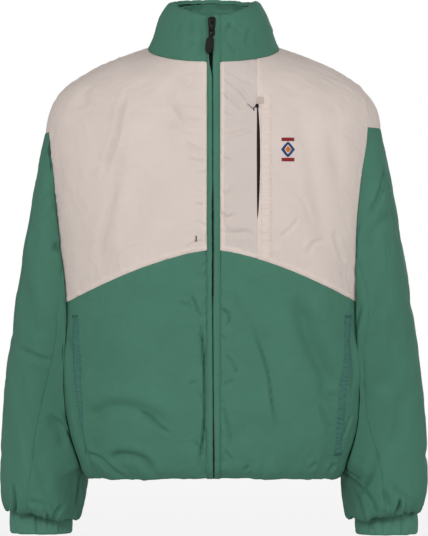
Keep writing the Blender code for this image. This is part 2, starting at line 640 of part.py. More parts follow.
def pocket_mouth(seam, direction):
    """The chest pocket's seam, parted by the half width of its mouth where the mouth is."""
    top, bottom = CHEST_SLIT
    share = np.clip((seam[:, 1] - bottom) / (top - bottom), 0, 1)
    x = CHEST_SEAM_X + direction * CHEST_SLIT_HALF_WIDTH * np.sin(math.pi * share) ** 1.2
    return edge(angle_at(x, seam[:, 1]), seam[:, 1])


def lower_levels(top_level, steps):
    """Levels from the hem up, closer together in the hem's roll."""
    roll = np.array([0.0, 12.0, 24.0, 40.0, 64.0])
    plain = np.linspace(HEM_LEVEL + 64.0, top_level, steps - len(roll) + 2)[1:]
    return np.concatenate([HEM_LEVEL + roll, plain])


def side_edge(side, face):
    """The side seam from the hem up to the underarm, then the armhole up to the colour seam."""
    seam = edge(0.0, lower_levels(UNDERARM_LEVEL, LOWER_STEPS - UNDERARM_STEPS))
    return np.concatenate([seam, armhole_edge(side, face, 0, UNDERARM_STEPS)[1:]])


def lower_fronts(green):
    """The green lower fronts, from the colour seam to the edge turned up inside the hem."""
    walls = {}
    for side in SIDES:
        top = front_yoke_bottom(side)
        levels = lower_levels(top[0, 1], LOWER_STEPS)
        centre = edge(angle_at(BAND_OUTER_X, levels), levels)
        bottom = edge(np.linspace(centre[0, 0], 0, len(top)), HEM_LEVEL)
        grid = mirrored(side, patch(bottom, top, centre, side_edge(side, 1)))
        walls[side] = cloth_piece(f"front_lower_{side}", grid, body_point, SHELL, green)
    return walls


def both_backs(left, right):
    """An edge from the right side round the back to the left, from its two halves."""
    right = right[::-1].copy()
    right[:, 0] = -math.pi - right[:, 0]
    return np.concatenate([right, left[1:]])


def backs(pale, green):
    """The back yoke and the lower back, each in one piece from side to side."""
    centre = -math.pi / 2
    steps = NECK_STEPS + SHOULDER_STEPS
    bottom = both_backs(*(yoke_bottom(side, -1, centre, steps) for side in ("left", "right")))
    top = both_backs(*(yoke_top(side, centre, NECK_STEPS) for side in ("left", "right")))
    left = armhole_edge("left", -1, UNDERARM_STEPS, HALF_ARMHOLE_STEPS)
    right = armhole_edge("right", -1, UNDERARM_STEPS, HALF_ARMHOLE_STEPS)
    right[:, 0] = -math.pi - right[:, 0]
    cloth_piece("back_yoke", patch(bottom, top, right, left), body_point, SHELL, pale)

    hem = edge(np.linspace(-math.pi, 0, 2 * steps + 1), HEM_LEVEL)
    left = side_edge("left", -1)
    right = side_edge("right", -1)
    right[:, 0] = -math.pi - right[:, 0]
    cloth_piece("back_lower", patch(hem, bottom, right, left), body_point, SHELL, green)


def sleeves(pale, green):
    """Each sleeve is a pale cap, an outer sleeve over the arm and an under sleeve inside it."""
    last = float(len(SLEEVE_STATIONS))
    seam_steps = round(SLEEVE_SEAM / STEP)
    cap_steps = round(CAP_END / STEP)
    outer_turns = STEP * np.arange(-seam_steps, seam_steps + 1)
    under_turns = STEP * np.arange(seam_steps, 2 * HALF_ARMHOLE_STEPS - seam_steps + 1)
    rows = np.array([0, 0.05, 0.1, 0.16, 0.23, 0.3, 0.38, 0.46, 0.54, 0.62, 0.7, 0.77, 0.83])
    rows = np.concatenate([rows, [0.88, 0.925, 0.96, 1.0]])
    for side in SIDES:

        def surface(turn, station, out=0.0, side=side):
            return sleeve_point(side, turn, station, out)

        top = cap_station(side, outer_turns)
        stations = top[:, None] + (last - top[:, None]) * rows
        grid = edge(outer_turns[:, None], stations)
        gap = SLEEVE_INNER_GAP
        cloth_piece(f"sleeve_outer_{side}", grid, surface, SHELL, green, inner_gap=gap)

        under = edge(under_turns[:, None], last * rows)
        cloth_piece(f"sleeve_under_{side}", under, surface, SHELL, green, inner_gap=gap)

        cap_turns = STEP * np.arange(-cap_steps, cap_steps + 1)
        cap = edge(cap_turns[:, None], cap_station(side, cap_turns)[:, None] * np.linspace(0, 1, 4))
        cloth_piece(f"sleeve_cap_{side}", cap, surface, SHELL, pale)


def cuff_point(side, turn, drop, out):
    """Point on a cuff: the last sleeve section, let down and a little fuller than its seam."""
    row = SLEEVE_STATIONS[-1]
    growth = through([r[0] for r in CUFF_ROWS], [r[1] for r in CUFF_ROWS], drop) + out
    half_x = (row.outer_x - row.inner_x) / 2 + growth
    across = signed_power(np.cos(turn), 2 / row.roundness)
    forward = signed_power(np.sin(turn), 2 / row.roundness)
    seam_z = (row.outer_z + row.inner_z) / 2 + (row.outer_z - row.inner_z) / 2 * across
    bottom_z = row.inner_z - CUFF_DEPTH + 2.0
    x = SIDES[side] * ((row.outer_x + row.inner_x) / 2 + half_x * across)
    y = row.middle_y - SLEEVE_FORWARD[side] - (row.half_depth + growth) * forward
    return np.stack([x, y, seam_z + (bottom_z - seam_z) * drop], axis=-1)


def cuffs(green):
    turns = STEP * np.arange(2 * HALF_ARMHOLE_STEPS)
    drops = np.array([0.02, 0.25, 0.8, 1.0])
    for side in SIDES:
        turn, drop = np.meshgrid(turns, drops, indexing="ij")
        outer = cuff_point(side, turn, drop, 0.0)
        inner = cuff_point(side, turn, drop, -SHELL)
        wall_object(f"cuff_{side}", outer, inner, green, closed=True)


def collar(green):
    """The collar's outer layer, and the facing that shows inside the neck."""
    share = np.linspace(0, 1, COLLAR_STEPS + 1)[:, None]
    layers = (
        ("collar", COLLAR_WALL, 0.0, np.array([0.0, 0.15, 0.36, 0.58, 0.8, 0.93, 1.0])),
        ("collar_facing", FACING_WALL, -COLLAR_WALL - LAYER_GAP, np.array([0.02, 0.3, 0.6, 0.84, 0.93])),
    )
    for name, thickness, raised, levels in layers:
        first = angle_at(BAND_OUTER_X, levels, COLLAR_RINGS)
        grid = edge(first + share * (-math.pi - 2 * first), levels)
        cloth_piece(name, grid, collar_point, thickness, green, raised=raised)


def hem_band(green):
    """The elastic band that draws the hem in, standing up inside the rolled edge."""
    low = ring_values(BODY_RINGS, np.array(HEM_LEVEL))
    first = float(angle_at(BAND_OUTER_X, np.array(HEM_LEVEL)))
    angles = np.linspace(first, -math.pi - first, 4 * (NECK_STEPS + SHOULDER_STEPS) + 1)
    rises = np.array([SEAM_GAP, 14.0, 28.0])
    angle, rise = np.meshgrid(angles, rises, indexing="ij")

    def ring(out):
        point = ring_point(BODY_RINGS, angle, HEM_LEVEL)
        power = 2 / low.roundness
        point[..., 0] += out * signed_power(np.cos(angle), power)
        point[..., 1] -= out * signed_power(np.sin(angle), power)
        point[..., 2] += rise
        return point

    wall_object("hem_band", ring(0.0), ring(-SHELL), green)


def centre_line(x, out):
    """Points up the front at one distance from the centre: the body, then the collar."""
    levels = np.concatenate([[HEM_LEVEL + 6.0], lower_levels(YOKE_CENTRE_Z, LOWER_STEPS)[1:]])
    levels = np.concatenate([levels, np.linspace(YOKE_CENTRE_Z, NECK_LEVEL, 14)[1:-1]])
    body = body_point(angle_at(x, levels), levels, out)
    heights = np.array([0.0, 0.15, 0.36, 0.58, 0.8, 0.93])
    upper = collar_point(angle_at(x, heights, COLLAR_RINGS), heights, out)
    return np.concatenate([body, upper])


def zip_pieces(green, black):
    """The two bound edges of the front, and the zip that closes them."""
    for side, sign in SIDES.items():
        across = sign * np.array([BAND_INNER_X, BAND_OUTER_X - SEAM_GAP])
        outer = np.stack([centre_line(x, BAND_RAISE) for x in across])
        inner = np.stack([centre_line(x, BAND_RAISE - BAND_WALL) for x in across])
        wall_object(f"zip_band_{side}", outer, inner, green)
    across = np.array([-5.5, 5.5])
    depth = BAND_RAISE - BAND_WALL - LAYER_GAP
    outer = np.stack([centre_line(x, depth) for x in across])
    inner = np.stack([centre_line(x, depth - 1.6) for x in across])
    wall_object("zip_chain", outer, inner, black)


def between_rows(wall, rows):
    """The panel's outer points, and the directions out of it, on whole and part rows of its grid."""
    outer, inner = wall
    whole = np.clip(np.floor(rows).astype(int), 0, outer.shape[1] - 2)
    part = (rows - whole)[None, :, None]
    face = outer[:, whole] * (1 - part) + outer[:, whole + 1] * part
    lining = inner[:, whole] * (1 - part) + inner[:, whole + 1] * part
    out = face - lining
    return face, out / np.linalg.norm(out, axis=-1, keepdims=True)


def rows_between(wall, x, low_z, high_z):
    """The panel's rows between two heights at this distance across, with part rows at the ends."""
    face = wall[0][np.argsort(wall[0][:, 0, 0])]
    every = np.arange(face.shape[1])
    heights = [np.interp(x, face[:, j, 0], face[:, j, 2]) for j in every]
    low, high = np.interp([low_z, high_z], heights, every)
    inside = every[(every > low + 0.1) & (every < high - 0.1)]
    return np.concatenate([[low], inside, [high]])


def strip_on(wall, rows, middle_x, width):
    """The outer and inner face of a strip that lies on a panel, made of the panel's own points
    moved out. On each row its middle is this far across the jacket, and its width follows the cloth."""
    face, out = between_rows(wall, rows)
    order = np.argsort(face[:, 0, 0])
    offsets = width * np.linspace(-0.5, 0.5, WELT_COLUMNS)
    points = np.empty((WELT_COLUMNS, len(rows), 3))
    normals = np.empty_like(points)
    for j in range(len(rows)):
        line = face[order, j]
        lengths = np.linalg.norm(np.diff(line, axis=0), axis=-1)
        travelled = np.concatenate([[0], np.cumsum(lengths)])
        places = np.interp(middle_x[j], line[:, 0], travelled) + offsets
        for axis in range(3):
            points[:, j, axis] = np.interp(places, travelled, line[:, axis])
            normals[:, j, axis] = np.interp(places, travelled, out[order, j, axis])
    return points + normals * (WELT_GAP + WELT_WALL), points + normals * WELT_GAP


def chest_pocket(panel, pale, dark):
    """The chest pocket's zip behind its mouth, and the stitched strip beside it."""
    seam = upright_edge(CHEST_SEAM_X, YOKE_STEPS)
    top, bottom = CHEST_SLIT
    levels = seam[(seam[:, 1] < top + 30) & (seam[:, 1] > bottom - 30), 1]
    across = CHEST_SEAM_X + np.array([-1, 1]) * CHEST_ZIP_HALF_WIDTH
    grid = edge(angle_at(across[:, None], levels), levels)
    behind = -SHELL - HIDDEN_GAP
    cloth_piece("chest_pocket_zip", grid, body_point, CHEST_ZIP_WALL, dark, raised=behind)

    rows = rows_between(panel, CHEST_WELT_X, *CHEST_WELT_Z)
    outer, inner = strip_on(panel, rows, np.full(len(rows), CHEST_WELT_X), CHEST_WELT_WIDTH)
    wall_object("chest_pocket_welt", outer, inner, pale)


def hand_pockets(panels, green):
    """The zipped welt of each hand pocket, near the side seam."""
    for side, sign in SIDES.items():
        low_x, high_x = HAND_POCKET_X[side]
        panel = panels[side]
        rows = rows_between(panel, sign * (low_x + high_x) / 2, *HAND_POCKET_Z)
        share = np.linspace(0, 1, len(rows))
        middle = sign * (low_x + (high_x - low_x) * share**0.8)
        outer, inner = strip_on(panel, rows, middle, HAND_POCKET_WIDTH)
        wall_object(f"hand_pocket_welt_{side}", outer, inner, green)


def primitive(name, size, location, material, bevel=0.0):
    """A box with rounded edges."""
    bpy.ops.mesh.primitive_cube_add(size=1, location=location)
    box = bpy.context.object
    box.name = name
    box.scale = size
    bpy.ops.object.transform_apply(location=False, rotation=False, scale=True)
    if bevel:
        rounding = box.modifiers.new("Rounded edges", "BEVEL")
        rounding.width = bevel
        rounding.segments = 2
    move_to_collection(box)
    box.data.materials.append(material)
    return box


def rod(name, radius, length, location, material):
    """A cylinder that lies across the jacket."""
    bpy.ops.mesh.primitive_cylinder_add(
        vertices=20,
        radius=radius,
        depth=length,
        location=location,
        rotation=(0, math.pi / 2, 0),
    )
    cylinder = bpy.context.object
    cylinder.name = name
    bpy.ops.object.transform_apply(location=False, rotation=True, scale=True)
    move_to_collection(cylinder)
    cylinder.data.materials.append(material)
    return cylinder


def move_to_collection(thing, name="Jacket"):
    for collection in thing.users_collection:
        collection.objects.unlink(thing)
    bpy.data.collections[name].objects.link(thing)


def combine(target, others, operation):
    """Joins or cuts the target by the others, which stay as hidden helpers."""
    for other in others:
        cut = target.modifiers.new(operation.title(), "BOOLEAN")
        cut.operation = operation
        cut.object = other
        other.hide_render = True
        other.display_type = "WIRE"
        move_to_collection(other, "Cutters")


# The zip's slider and its pull, in the slider's own frame: Y points into the jacket, Z up the zip.
SLIDER_LEVEL = 0.66  # height on the collar of the slider's middle
SLIDER_SIZE = (11.5, 3.0, 20.0)
EAR_X = 3.7
EAR_WALL = 1.3
PIN_RADIUS = 1.0
PIN_ABOVE_PLATE = 3.1
EYE_RADIUS = 2.3
EYE_BORE = 1.4
EYE_WIDTH = 5.2
LINK_LENGTH = 15.0
GRIP_SIZE = (11.5, 3.0, 27.0)
PULL_LEAN = math.radians(5.5)  # the pull rests on the collar instead of hanging plumb


def slider_frame():
    """Where the slider stands: a point on the bands, and the slope of the collar there."""
    points = collar_point(np.full(2, math.pi / 2), np.array([SLIDER_LEVEL - 0.1, SLIDER_LEVEL + 0.1]))
    middle = points.mean(axis=0)
    rise = points[1] - points[0]
    slope = math.atan2(rise[1], rise[2])
    return middle, slope


def in_frame(middle, slope, out, up):
    """A point of the slider's frame: so far out of the collar and so far up the zip."""
    y = middle[1] - out * math.cos(slope) + up * math.sin(slope)
    z = middle[2] + out * math.sin(slope) + up * math.cos(slope)
    return (0.0, y * MM, z * MM)


def slider_and_pull(metal, rubber):
    middle, slope = slider_frame()
    plate_out = BAND_RAISE + LAYER_GAP + SLIDER_SIZE[1] / 2
    pin_out = BAND_RAISE + LAYER_GAP + SLIDER_SIZE[1] + PIN_ABOVE_PLATE
    size = tuple(s * MM for s in SLIDER_SIZE)
    plate = primitive("zip_slider", size, in_frame(middle, slope, plate_out, 0), metal)
    plate.rotation_euler = (-slope, 0, 0)
    ears = []
    ear_height = PIN_ABOVE_PLATE + 1.9
    for sign in (-1, 1):
        place_at = in_frame(middle, slope, pin_out - ear_height / 2 + 1.4, 2.0)
        ear = primitive(f"ear_{sign}", (EAR_WALL * MM, (ear_height + 1) * MM, 5.0 * MM), place_at, metal)
        ear.location.x = sign * EAR_X * MM
        ear.rotation_euler = (-slope, 0, 0)
        ears.append(ear)
    pin_place = in_frame(middle, slope, pin_out, 2.0)
    pin = rod("pin", PIN_RADIUS * MM, 2 * EAR_X * MM, pin_place, metal)
    combine(plate, [*ears, pin], "UNION")

    hinge = bpy.data.objects.new("pull_hinge", None)
    hinge.location = pin_place
    hinge.rotation_euler = (-PULL_LEAN, 0, 0)
    bpy.data.collections["Jacket"].objects.link(hinge)
    grip_middle = -(LINK_LENGTH + GRIP_SIZE[2] / 2 - 1.0) * MM
    grip = primitive("zip_pull", tuple(s * MM for s in GRIP_SIZE), (0, 0, grip_middle), rubber, 0.9 * MM)
    taper(grip, 0.45)
    link_size = (4.4 * MM, 1.8 * MM, LINK_LENGTH * MM)
    link = primitive("link", link_size, (0, 0, -LINK_LENGTH * MM / 2), metal)
    eye = rod("eye", EYE_RADIUS * MM, EYE_WIDTH * MM, (0, 0, 0), metal)
    bore = rod("eye_bore", EYE_BORE * MM, 4 * EYE_WIDTH * MM, (0, 0, 0), metal)
    combine(grip, [link, eye], "UNION")
    combine(grip, [bore], "DIFFERENCE")
    for piece in (grip, link, eye, bore):
        piece.parent = hinge


def taper(box, narrow_share):
    """Narrows the lowest face of a box, as a moulded pull narrows to its tip."""
    low = min(vertex.co.z for vertex in box.data.vertices)
    for vertex in box.data.vertices:
        if vertex.co.z < low + 1e-6:
            vertex.co.x *= narrow_share
            vertex.co.y *= 0.8


def main():
    for thing in list(bpy.data.objects):
        bpy.data.objects.remove(thing)
    for name in ("Jacket", "Cutters"):
        bpy.context.scene.collection.children.link(bpy.data.collections.new(name))
    pale = make_material("pale shell cloth", (0.62, 0.53, 0.48), 0.6)
    green = make_material("green shell cloth", (0.065, 0.18, 0.125), 0.55)
    black = make_material("black zip tape", (0.012, 0.012, 0.013), 0.6)
    brown = make_material("dark pocket zip", (0.03, 0.02, 0.018), 0.6)
    metal = make_material("blackened metal", (0.05, 0.05, 0.055), 0.35, 0.8)
    rubber = make_material("black moulded pull", (0.015, 0.014, 0.015), 0.5)
    left_yoke = front_yokes(pale)
    lower_panels = lower_fronts(green)
    backs(pale, green)
    sleeves(pale, green)
    cuffs(green)
    collar(green)
    hem_band(green)
    zip_pieces(green, black)
    chest_pocket(left_yoke, pale, brown)
    hand_pockets(lower_panels, green)
    slider_and_pull(metal, rubber)


main()
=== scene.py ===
# %% [markdown]
# # A zip-front jacket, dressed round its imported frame
# The frame is the jacket's CAD model: plain walls in the shape that the cloth has when worn.
# This file lays the real looks over it, piece by piece: creased cloth, seams, zip, stitches.
# Everything is in metres in the frame's own axes: the front faces -Y, the wearer's left is +X,
# and the origin is the middle of the neck. The tables below are in millimetres, as a pattern
# cutter would write them, and are turned into metres when a mesh is made.

import json
import math

import bpy
import numpy as np
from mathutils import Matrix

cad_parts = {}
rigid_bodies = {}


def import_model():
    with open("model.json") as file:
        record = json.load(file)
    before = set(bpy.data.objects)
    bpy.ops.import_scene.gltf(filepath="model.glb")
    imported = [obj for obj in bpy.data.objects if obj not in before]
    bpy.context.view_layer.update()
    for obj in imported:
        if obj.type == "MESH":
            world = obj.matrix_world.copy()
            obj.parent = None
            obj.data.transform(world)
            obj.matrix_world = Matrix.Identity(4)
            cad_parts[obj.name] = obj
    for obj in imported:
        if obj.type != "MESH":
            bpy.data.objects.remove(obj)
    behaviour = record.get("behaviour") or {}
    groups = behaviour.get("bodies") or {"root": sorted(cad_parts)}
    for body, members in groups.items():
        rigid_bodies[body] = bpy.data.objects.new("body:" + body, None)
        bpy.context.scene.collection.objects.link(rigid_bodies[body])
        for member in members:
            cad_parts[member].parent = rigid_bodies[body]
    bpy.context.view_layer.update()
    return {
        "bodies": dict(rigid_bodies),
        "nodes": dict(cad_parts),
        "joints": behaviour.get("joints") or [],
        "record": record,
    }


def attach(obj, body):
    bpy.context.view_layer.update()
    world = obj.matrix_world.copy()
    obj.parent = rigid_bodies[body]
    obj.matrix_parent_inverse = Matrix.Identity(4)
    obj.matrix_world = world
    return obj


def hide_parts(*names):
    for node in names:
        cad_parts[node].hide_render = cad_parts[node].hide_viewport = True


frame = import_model()
MM = 0.001

# %% [markdown]
# ## The view, the floor and the light
# A catalogue picture of a garment is taken from far away with a long lens, so that near and far
# parts keep their proportions. One large soft light stands above the camera, and white all round
# fills the shadows. The floor is a wide pale disc. It glows a little by itself, so that it fades
# into the white behind without a horizon, which a plain lit floor of this size would show.

# %% Camera
LENS, SENSOR = 231.6, 36.0  # in millimetres
CAMERA_PLACE = (0.0007, -5.0, -0.3163)

scene = bpy.context.scene
scene.view_settings.view_transform = "Standard"
lens = bpy.data.cameras.new("catalogue view")
lens.lens, lens.sensor_width = LENS, SENSOR
camera = bpy.data.objects.new("catalogue view", lens)
camera.location = CAMERA_PLACE
camera.rotation_euler = (math.pi / 2, 0, 0)
scene.collection.objects.link(camera)
scene.camera = camera
print("camera", -CAMERA_PLACE[1], "m away, lens", LENS, "mm")


# %% Nodes and their wires
def add(tree, kind, **values):
    """A node with its properties, or its inputs by name, set."""
    node = tree.nodes.new(kind)
    for key, value in values.items():
        if hasattr(node, key):
            setattr(node, key, value)
        else:
            node.inputs[key.replace("_", " ")].default_value = value
    return node


def wire(tree, *joins):
    """Joins nodes: each join is a node and its output, then a node and its input."""
    for start, output, end, entry in joins:
        tree.links.new(start.outputs[output], end.inputs[entry])


# %% White all round
FILL, OVERHEAD = 0.5, 0.7  # how bright the surroundings are as a light, and the share of it above
BACKGROUND = 1.0  # and how bright they look

world = bpy.data.worlds.new("white room")
scene.world = world
world.use_nodes = True
tree = world.node_tree
seen = add(tree, "ShaderNodeLightPath")
strength = add(tree, "ShaderNodeMix", B=BACKGROUND)
direction = add(tree, "ShaderNodeTexCoord")
height = add(tree, "ShaderNodeSeparateXYZ")
dimmer = add(tree, "ShaderNodeMapRange", From_Min=0, From_Max=1, To_Min=FILL, To_Max=FILL * OVERHEAD)
background = tree.nodes["Background"]
background.inputs["Color"].default_value = (1, 1, 1, 1)
wire(
    tree,
    (direction, "Generated", height, 0), (height, "Z", dimmer, "Value"),
    (dimmer, "Result", strength, "A"), (seen, "Is Camera Ray", strength, "Factor"),
    (strength, "Result", background, "Strength"),
)


# %% Floor
FLOOR_Z, FLOOR_RADIUS, FLOOR_CORNERS = -0.745, 40.0, 96
NEAR_GLOW, FAR_GLOW = 0.885, 1.0  # how bright it looks half a metre and 6 m from the middle
FLOOR_FILL = 0.5  # and how bright it is as a light

turns = np.linspace(0, 2 * np.pi, FLOOR_CORNERS + 1)[:-1]
rim = np.stack([np.cos(turns), np.sin(turns), 0 * turns], axis=1) * FLOOR_RADIUS
floor_mesh = bpy.data.meshes.new("floor")
floor_mesh.from_pydata((rim + [0, 0, FLOOR_Z]).tolist(), [], [list(range(FLOOR_CORNERS))])
floor = bpy.data.objects.new("floor", floor_mesh)
scene.collection.objects.link(floor)
paint = bpy.data.materials.new("pale floor")
paint.use_nodes = True
tree = paint.node_tree
tree.nodes.remove(tree.nodes["Principled BSDF"])
glow = add(tree, "ShaderNodeEmission")
place = add(tree, "ShaderNodeTexCoord")
far = add(tree, "ShaderNodeVectorMath", operation="LENGTH")
fade = add(tree, "ShaderNodeMapRange", From_Min=0.5, From_Max=6, To_Min=NEAR_GLOW, To_Max=FAR_GLOW)
seen = add(tree, "ShaderNodeLightPath")
bright = add(tree, "ShaderNodeMix", A=FLOOR_FILL)
wire(
    tree,
    (place, "Object", far, 0), (far, "Value", fade, "Value"), (fade, "Result", bright, "B"),
    (seen, "Is Camera Ray", bright, "Factor"), (bright, "Result", glow, "Strength"),
    (glow, "Emission", tree.nodes["Material Output"], "Surface"),
)
floor_mesh.materials.append(paint)


# %% Soft lights
def soft_light(name, place, size, power, aim=(0, 0, -0.3)):
    """A square lamp of this size at a place, turned to look at the jacket's middle."""
    lamp = bpy.data.lights.new(name, "AREA")
    lamp.shape, lamp.size, lamp.energy = "SQUARE", size, power
    holder = bpy.data.objects.new(name, lamp)
    holder.location = place
    away = holder.location - type(holder.location)(aim)
    holder.rotation_euler = away.to_track_quat("Z", "Y").to_euler()
    scene.collection.objects.link(holder)


soft_light("front light", (-0.6, -3.9, 1.0), 0.8, 53)
soft_light("right light", (2.8, -2.2, 0.6), 1.4, 34)
soft_light("left light", (-2.8, -2.2, 0.6), 1.4, 26)
soft_light("back light", (0.6, 3.6, 0.4), 2.0, 43)

# %% [markdown]
# ## The jacket's measures
# The body is a stack of rings, from the hem to the collar. Each ring has a half width, a depth to
# the front and to the back, and a roundness: 2 is an ellipse, and more is squarer. A sleeve is a
# row of cross-sections, from the armhole down to the cuff. These are the frame's own tables, so
# that cloth laid on them falls exactly where the frame's walls are.

# %% Tables of the body, the collar and the sleeves
NECK_LEVEL, HEM_LEVEL, UNDERARM_LEVEL = 2.0, -640.0, -400.0
YOKE_CENTRE_Z, YOKE_BEND = -291.0, 1.4  # the colour seam at the zip, and how it falls outwards
YOKE_ROUNDNESS = 2.4  # near enough that of the body's rings at the seam
YOKE_TURN = math.radians(36)  # where the colour seam meets the armhole, from the underarm
SHOULDER_TIP = {"right": -72.0, "left": -57.0}
ARMHOLE_FRONT = {"right": math.radians(18), "left": math.radians(32)}
ARMHOLE_BACK = math.radians(30)
ARMHOLE_DEPTH = {"right": 58.0, "left": 87.0, "back": 76.0}
ARMHOLE_SQUARENESS = 0.55, 0.9
SLEEVE_TWIST = {"right": math.radians(45), "left": math.radians(19)}
SLEEVE_FORWARD = {"right": -5.0, "left": 11.0}
SECTION_BOW = {"right": 0.1, "left": 0.85, "back": 0.5}
SLEEVE_SEAM, CAP_END = math.radians(108), math.radians(48)
CAP_LOWER_Z = {"right": -121.0, "left": -115.0}
ARM_CLEARANCE = 0.5
BAND_EDGE_X = 8.6
CHEST_SEAM_X, CHEST_SLIT, CHEST_SLIT_HALF = 61.8, (-50.0, -246.0), 2.6
SIDES = {"right": -1, "left": 1}

#                level side_z front_z back_z half_width front back roundness dip
BODY_RINGS = np.array([
    (-640, -603, -598, -601, 171, 111, 103, 2.35, 2),
    (-628, -619, -614, -617, 180, 121, 113, 2.35, 2),
    (-612, -611, -607, -610, 188.5, 131, 121, 2.35, 2),
    (-590, -590, -588, -590, 197, 138, 127, 2.35, 2),
    (-560, -560, -560, -560, 207, 142, 130, 2.4, 2),
    (-520, -520, -520, -520, 215, 144, 131, 2.4, 2),
    (-460, -460, -460, -460, 219.5, 145, 131, 2.4, 2),
    (-372, -372, -372, -372, 220.5, 146, 131, 2.4, 2),
    (-280, -280, -280, -280, 229.5, 146, 132, 2.5, 2),
    (-190, -190, -192, -190, 238, 142, 131, 2.6, 2),
    (-120, -120, -132, -120, 242, 134, 124, 2.6, 2),
    (-86, -86, -112, -86, 236, 127, 114, 2.6, 2),
    (-67, -67, -98, -64, 225, 121, 105, 2.5, 1.9),
    (-49, -49, -84, -43, 207, 116, 97, 2.4, 1.75),
    (-31.5, -31.5, -68, -23, 180, 111, 90, 2.3, 1.5),
    (-14.5, -14.5, -48, -2, 144, 106, 84, 2.2, 1.3),
    (-4, -4, -34, 9, 115, 102, 79, 2.1, 1.1),
    (2, 2, -23, 17, 95, 99, 76, 2.05, 1),
])
COLLAR_RINGS = np.array([
    (0.0, 2, -23, 17, 95, 99, 76, 2.05, 1),
    (0.15, 12, -12, 26, 89, 98.5, 76, 2.05, 1.1),
    (0.5, 36, 13, 48, 80.5, 95.5, 74, 2.05, 1.3),
    (0.8, 57, 35, 67.5, 71.5, 91, 70, 2.05, 1.6),
    (0.93, 67, 43.5, 76, 64.5, 87, 66.5, 2.05, 1.7),
    (1.0, 69.5, 44, 77.5, 59, 82, 62, 2.05, 1.7),
])
#                outer_x outer_z inner_x inner_z bow middle_y half_depth roundness
SLEEVE_STATIONS = np.array([
    (233, -84, 222, -386, 13, 2, 84, 2.3),
    (243, -119, 222.5, -400, 7, 6, 86, 2.3),
    (255.5, -177, 220, -414, 3, 13, 90, 2.4),
    (266.5, -243, 215, -429, 1, 21, 93, 2.5),
    (278.5, -309, 208, -447, 0, 30, 94, 2.5),
    (289, -374, 199, -470, 0, 39, 92, 2.5),
    (298, -434, 191, -499, 0, 46, 89, 2.4),
    (305, -490, 187, -530, 0, 51, 86, 2.3),
    (309.5, -541, 185, -564, 0, 53, 82, 2.2),
    (312, -588, 184, -600, 0, 52, 79, 2.1),
    (313, -628, 185.5, -634, 0, 50, 77, 2.1),
    (309.5, -655, 190, -664, 0, 48, 72, 2.1),
    (303, -671, 197, -681, 0, 47, 60, 2.1),
    (296.5, -666, 208.5, -672, 0, 46, 36, 2.1),
])
LAST = len(SLEEVE_STATIONS)
NESTLE = {"right": 6.0, "left": 12.0}  # how far a sleeve's front comes forward beside the body
NESTLE_SHARE = (0, 0, 0, 0.3, 0.7, 1, 1, 1, 0.9, 0.6, 0.2, 0, 0, 0)
print("body rings:", len(BODY_RINGS), " sleeve sections:", LAST)

# %% [markdown]
# ## Surfaces as functions
# A surface here is a function of two numbers. On the body they are an angle round it and a level
# up it, on a sleeve a turn round the arm and a station down it. Whole arrays go in, and whole
# arrays of points come out, so a panel of thousands of points takes one call.

# %% Curves through a table


def smooth(x):
    """0 below 0, 1 above 1, and 3x^2 - 2x^3 between them."""
    x = np.clip(x, 0, 1)
    return x * x * (3 - 2 * x)


def signed_power(value, power):
    """The size of a value to a power, with the value's own sign."""
    return np.sign(value) * np.abs(value) ** power


def squarish(turn, roundness):
    """A squarish circle's two shares: cos and sin, each to the power 2/roundness."""
    return signed_power(np.cos(turn), 2 / roundness), signed_power(np.sin(turn), 2 / roundness)


def unit(vectors):
    """The same directions, each of length 1."""
    return vectors / np.maximum(np.linalg.norm(vectors, axis=-1, keepdims=True), 1e-9)


def between(before, after, slope_before, slope_after, t):
    """The cubic from one value to the next, with these slopes at its ends, at a share t."""
    return (
        before * (1 + 2 * t) * (1 - t) ** 2
        + after * t * t * (3 - 2 * t)
        + slope_before * t * (1 - t) ** 2
        - slope_after * t * t * (1 - t)
    )


def through(stations, values, at):
    """The cubic through the rows of a table, whose slope at each row comes from its neighbours."""
    stations, values = np.asarray(stations, float), np.asarray(values, float)
    slopes = np.gradient(values, stations, axis=0)
    at = np.clip(at, stations[0], stations[-1])
    row = np.clip(np.searchsorted(stations, at, side="right") - 1, 0, len(stations) - 2)
    length = stations[row + 1] - stations[row]
    t = (at - stations[row]) / length
    if values.ndim > 1:
        t, length = t[..., None], length[..., None]
    return between(values[row], values[row + 1], slopes[row] * length, slopes[row + 1] * length, t)


# %% Rings: the body and the collar


def ring_point(rings, angle, level):
    """x is the half width times cos, y the depth times sin, each to the power 2/roundness, and z
    passes from the side's height to the front's or the back's as |sin| to the power dip."""
    angle, level = np.broadcast_arrays(np.asarray(angle, float), np.asarray(level, float))
    row = through(rings[:, 0], rings[:, 1:], level)
    side_z, front_z, back_z, width, front, back, roundness, dip = np.moveaxis(row, -1, 0)
    ahead = np.sin(angle)
    depth, end_z = np.where(ahead > 0, [front, front_z], [back, back_z])
    across, forward = squarish(angle, roundness)
    z = side_z + (end_z - side_z) * np.abs(ahead) ** dip
    return np.stack([width * across, -depth * forward, z], axis=-1)


def ring_normal(rings, angle, level, step):
    """Out of the surface: the cross product of its two directions."""
    round_it = ring_point(rings, angle + 0.02, level) - ring_point(rings, angle - 0.02, level)
    up_it = ring_point(rings, angle, level + step) - ring_point(rings, angle, level - step)
    return unit(np.cross(up_it, round_it))


def angle_at(x, level, rings=BODY_RINGS):
    """The angle of the point of a ring that lies this far from the centre, on the front."""
    row = through(rings[:, 0], rings[:, 1:], np.asarray(level, float))
    share = np.clip(np.abs(x) / row[..., 3], 0, 1) ** (row[..., 6] / 2)
    return np.where(np.asarray(x) < 0, math.pi - np.arccos(share), np.arccos(share))


def front_place(x, z):
    """(angle, level) of the point of the body's front at this x and z, found in a few rounds."""
    level = np.asarray(z, float)
    for _ in range(8):
        angle = angle_at(x, level)
        level = level + z - ring_point(BODY_RINGS, angle, level)[..., 2]
    return angle, level


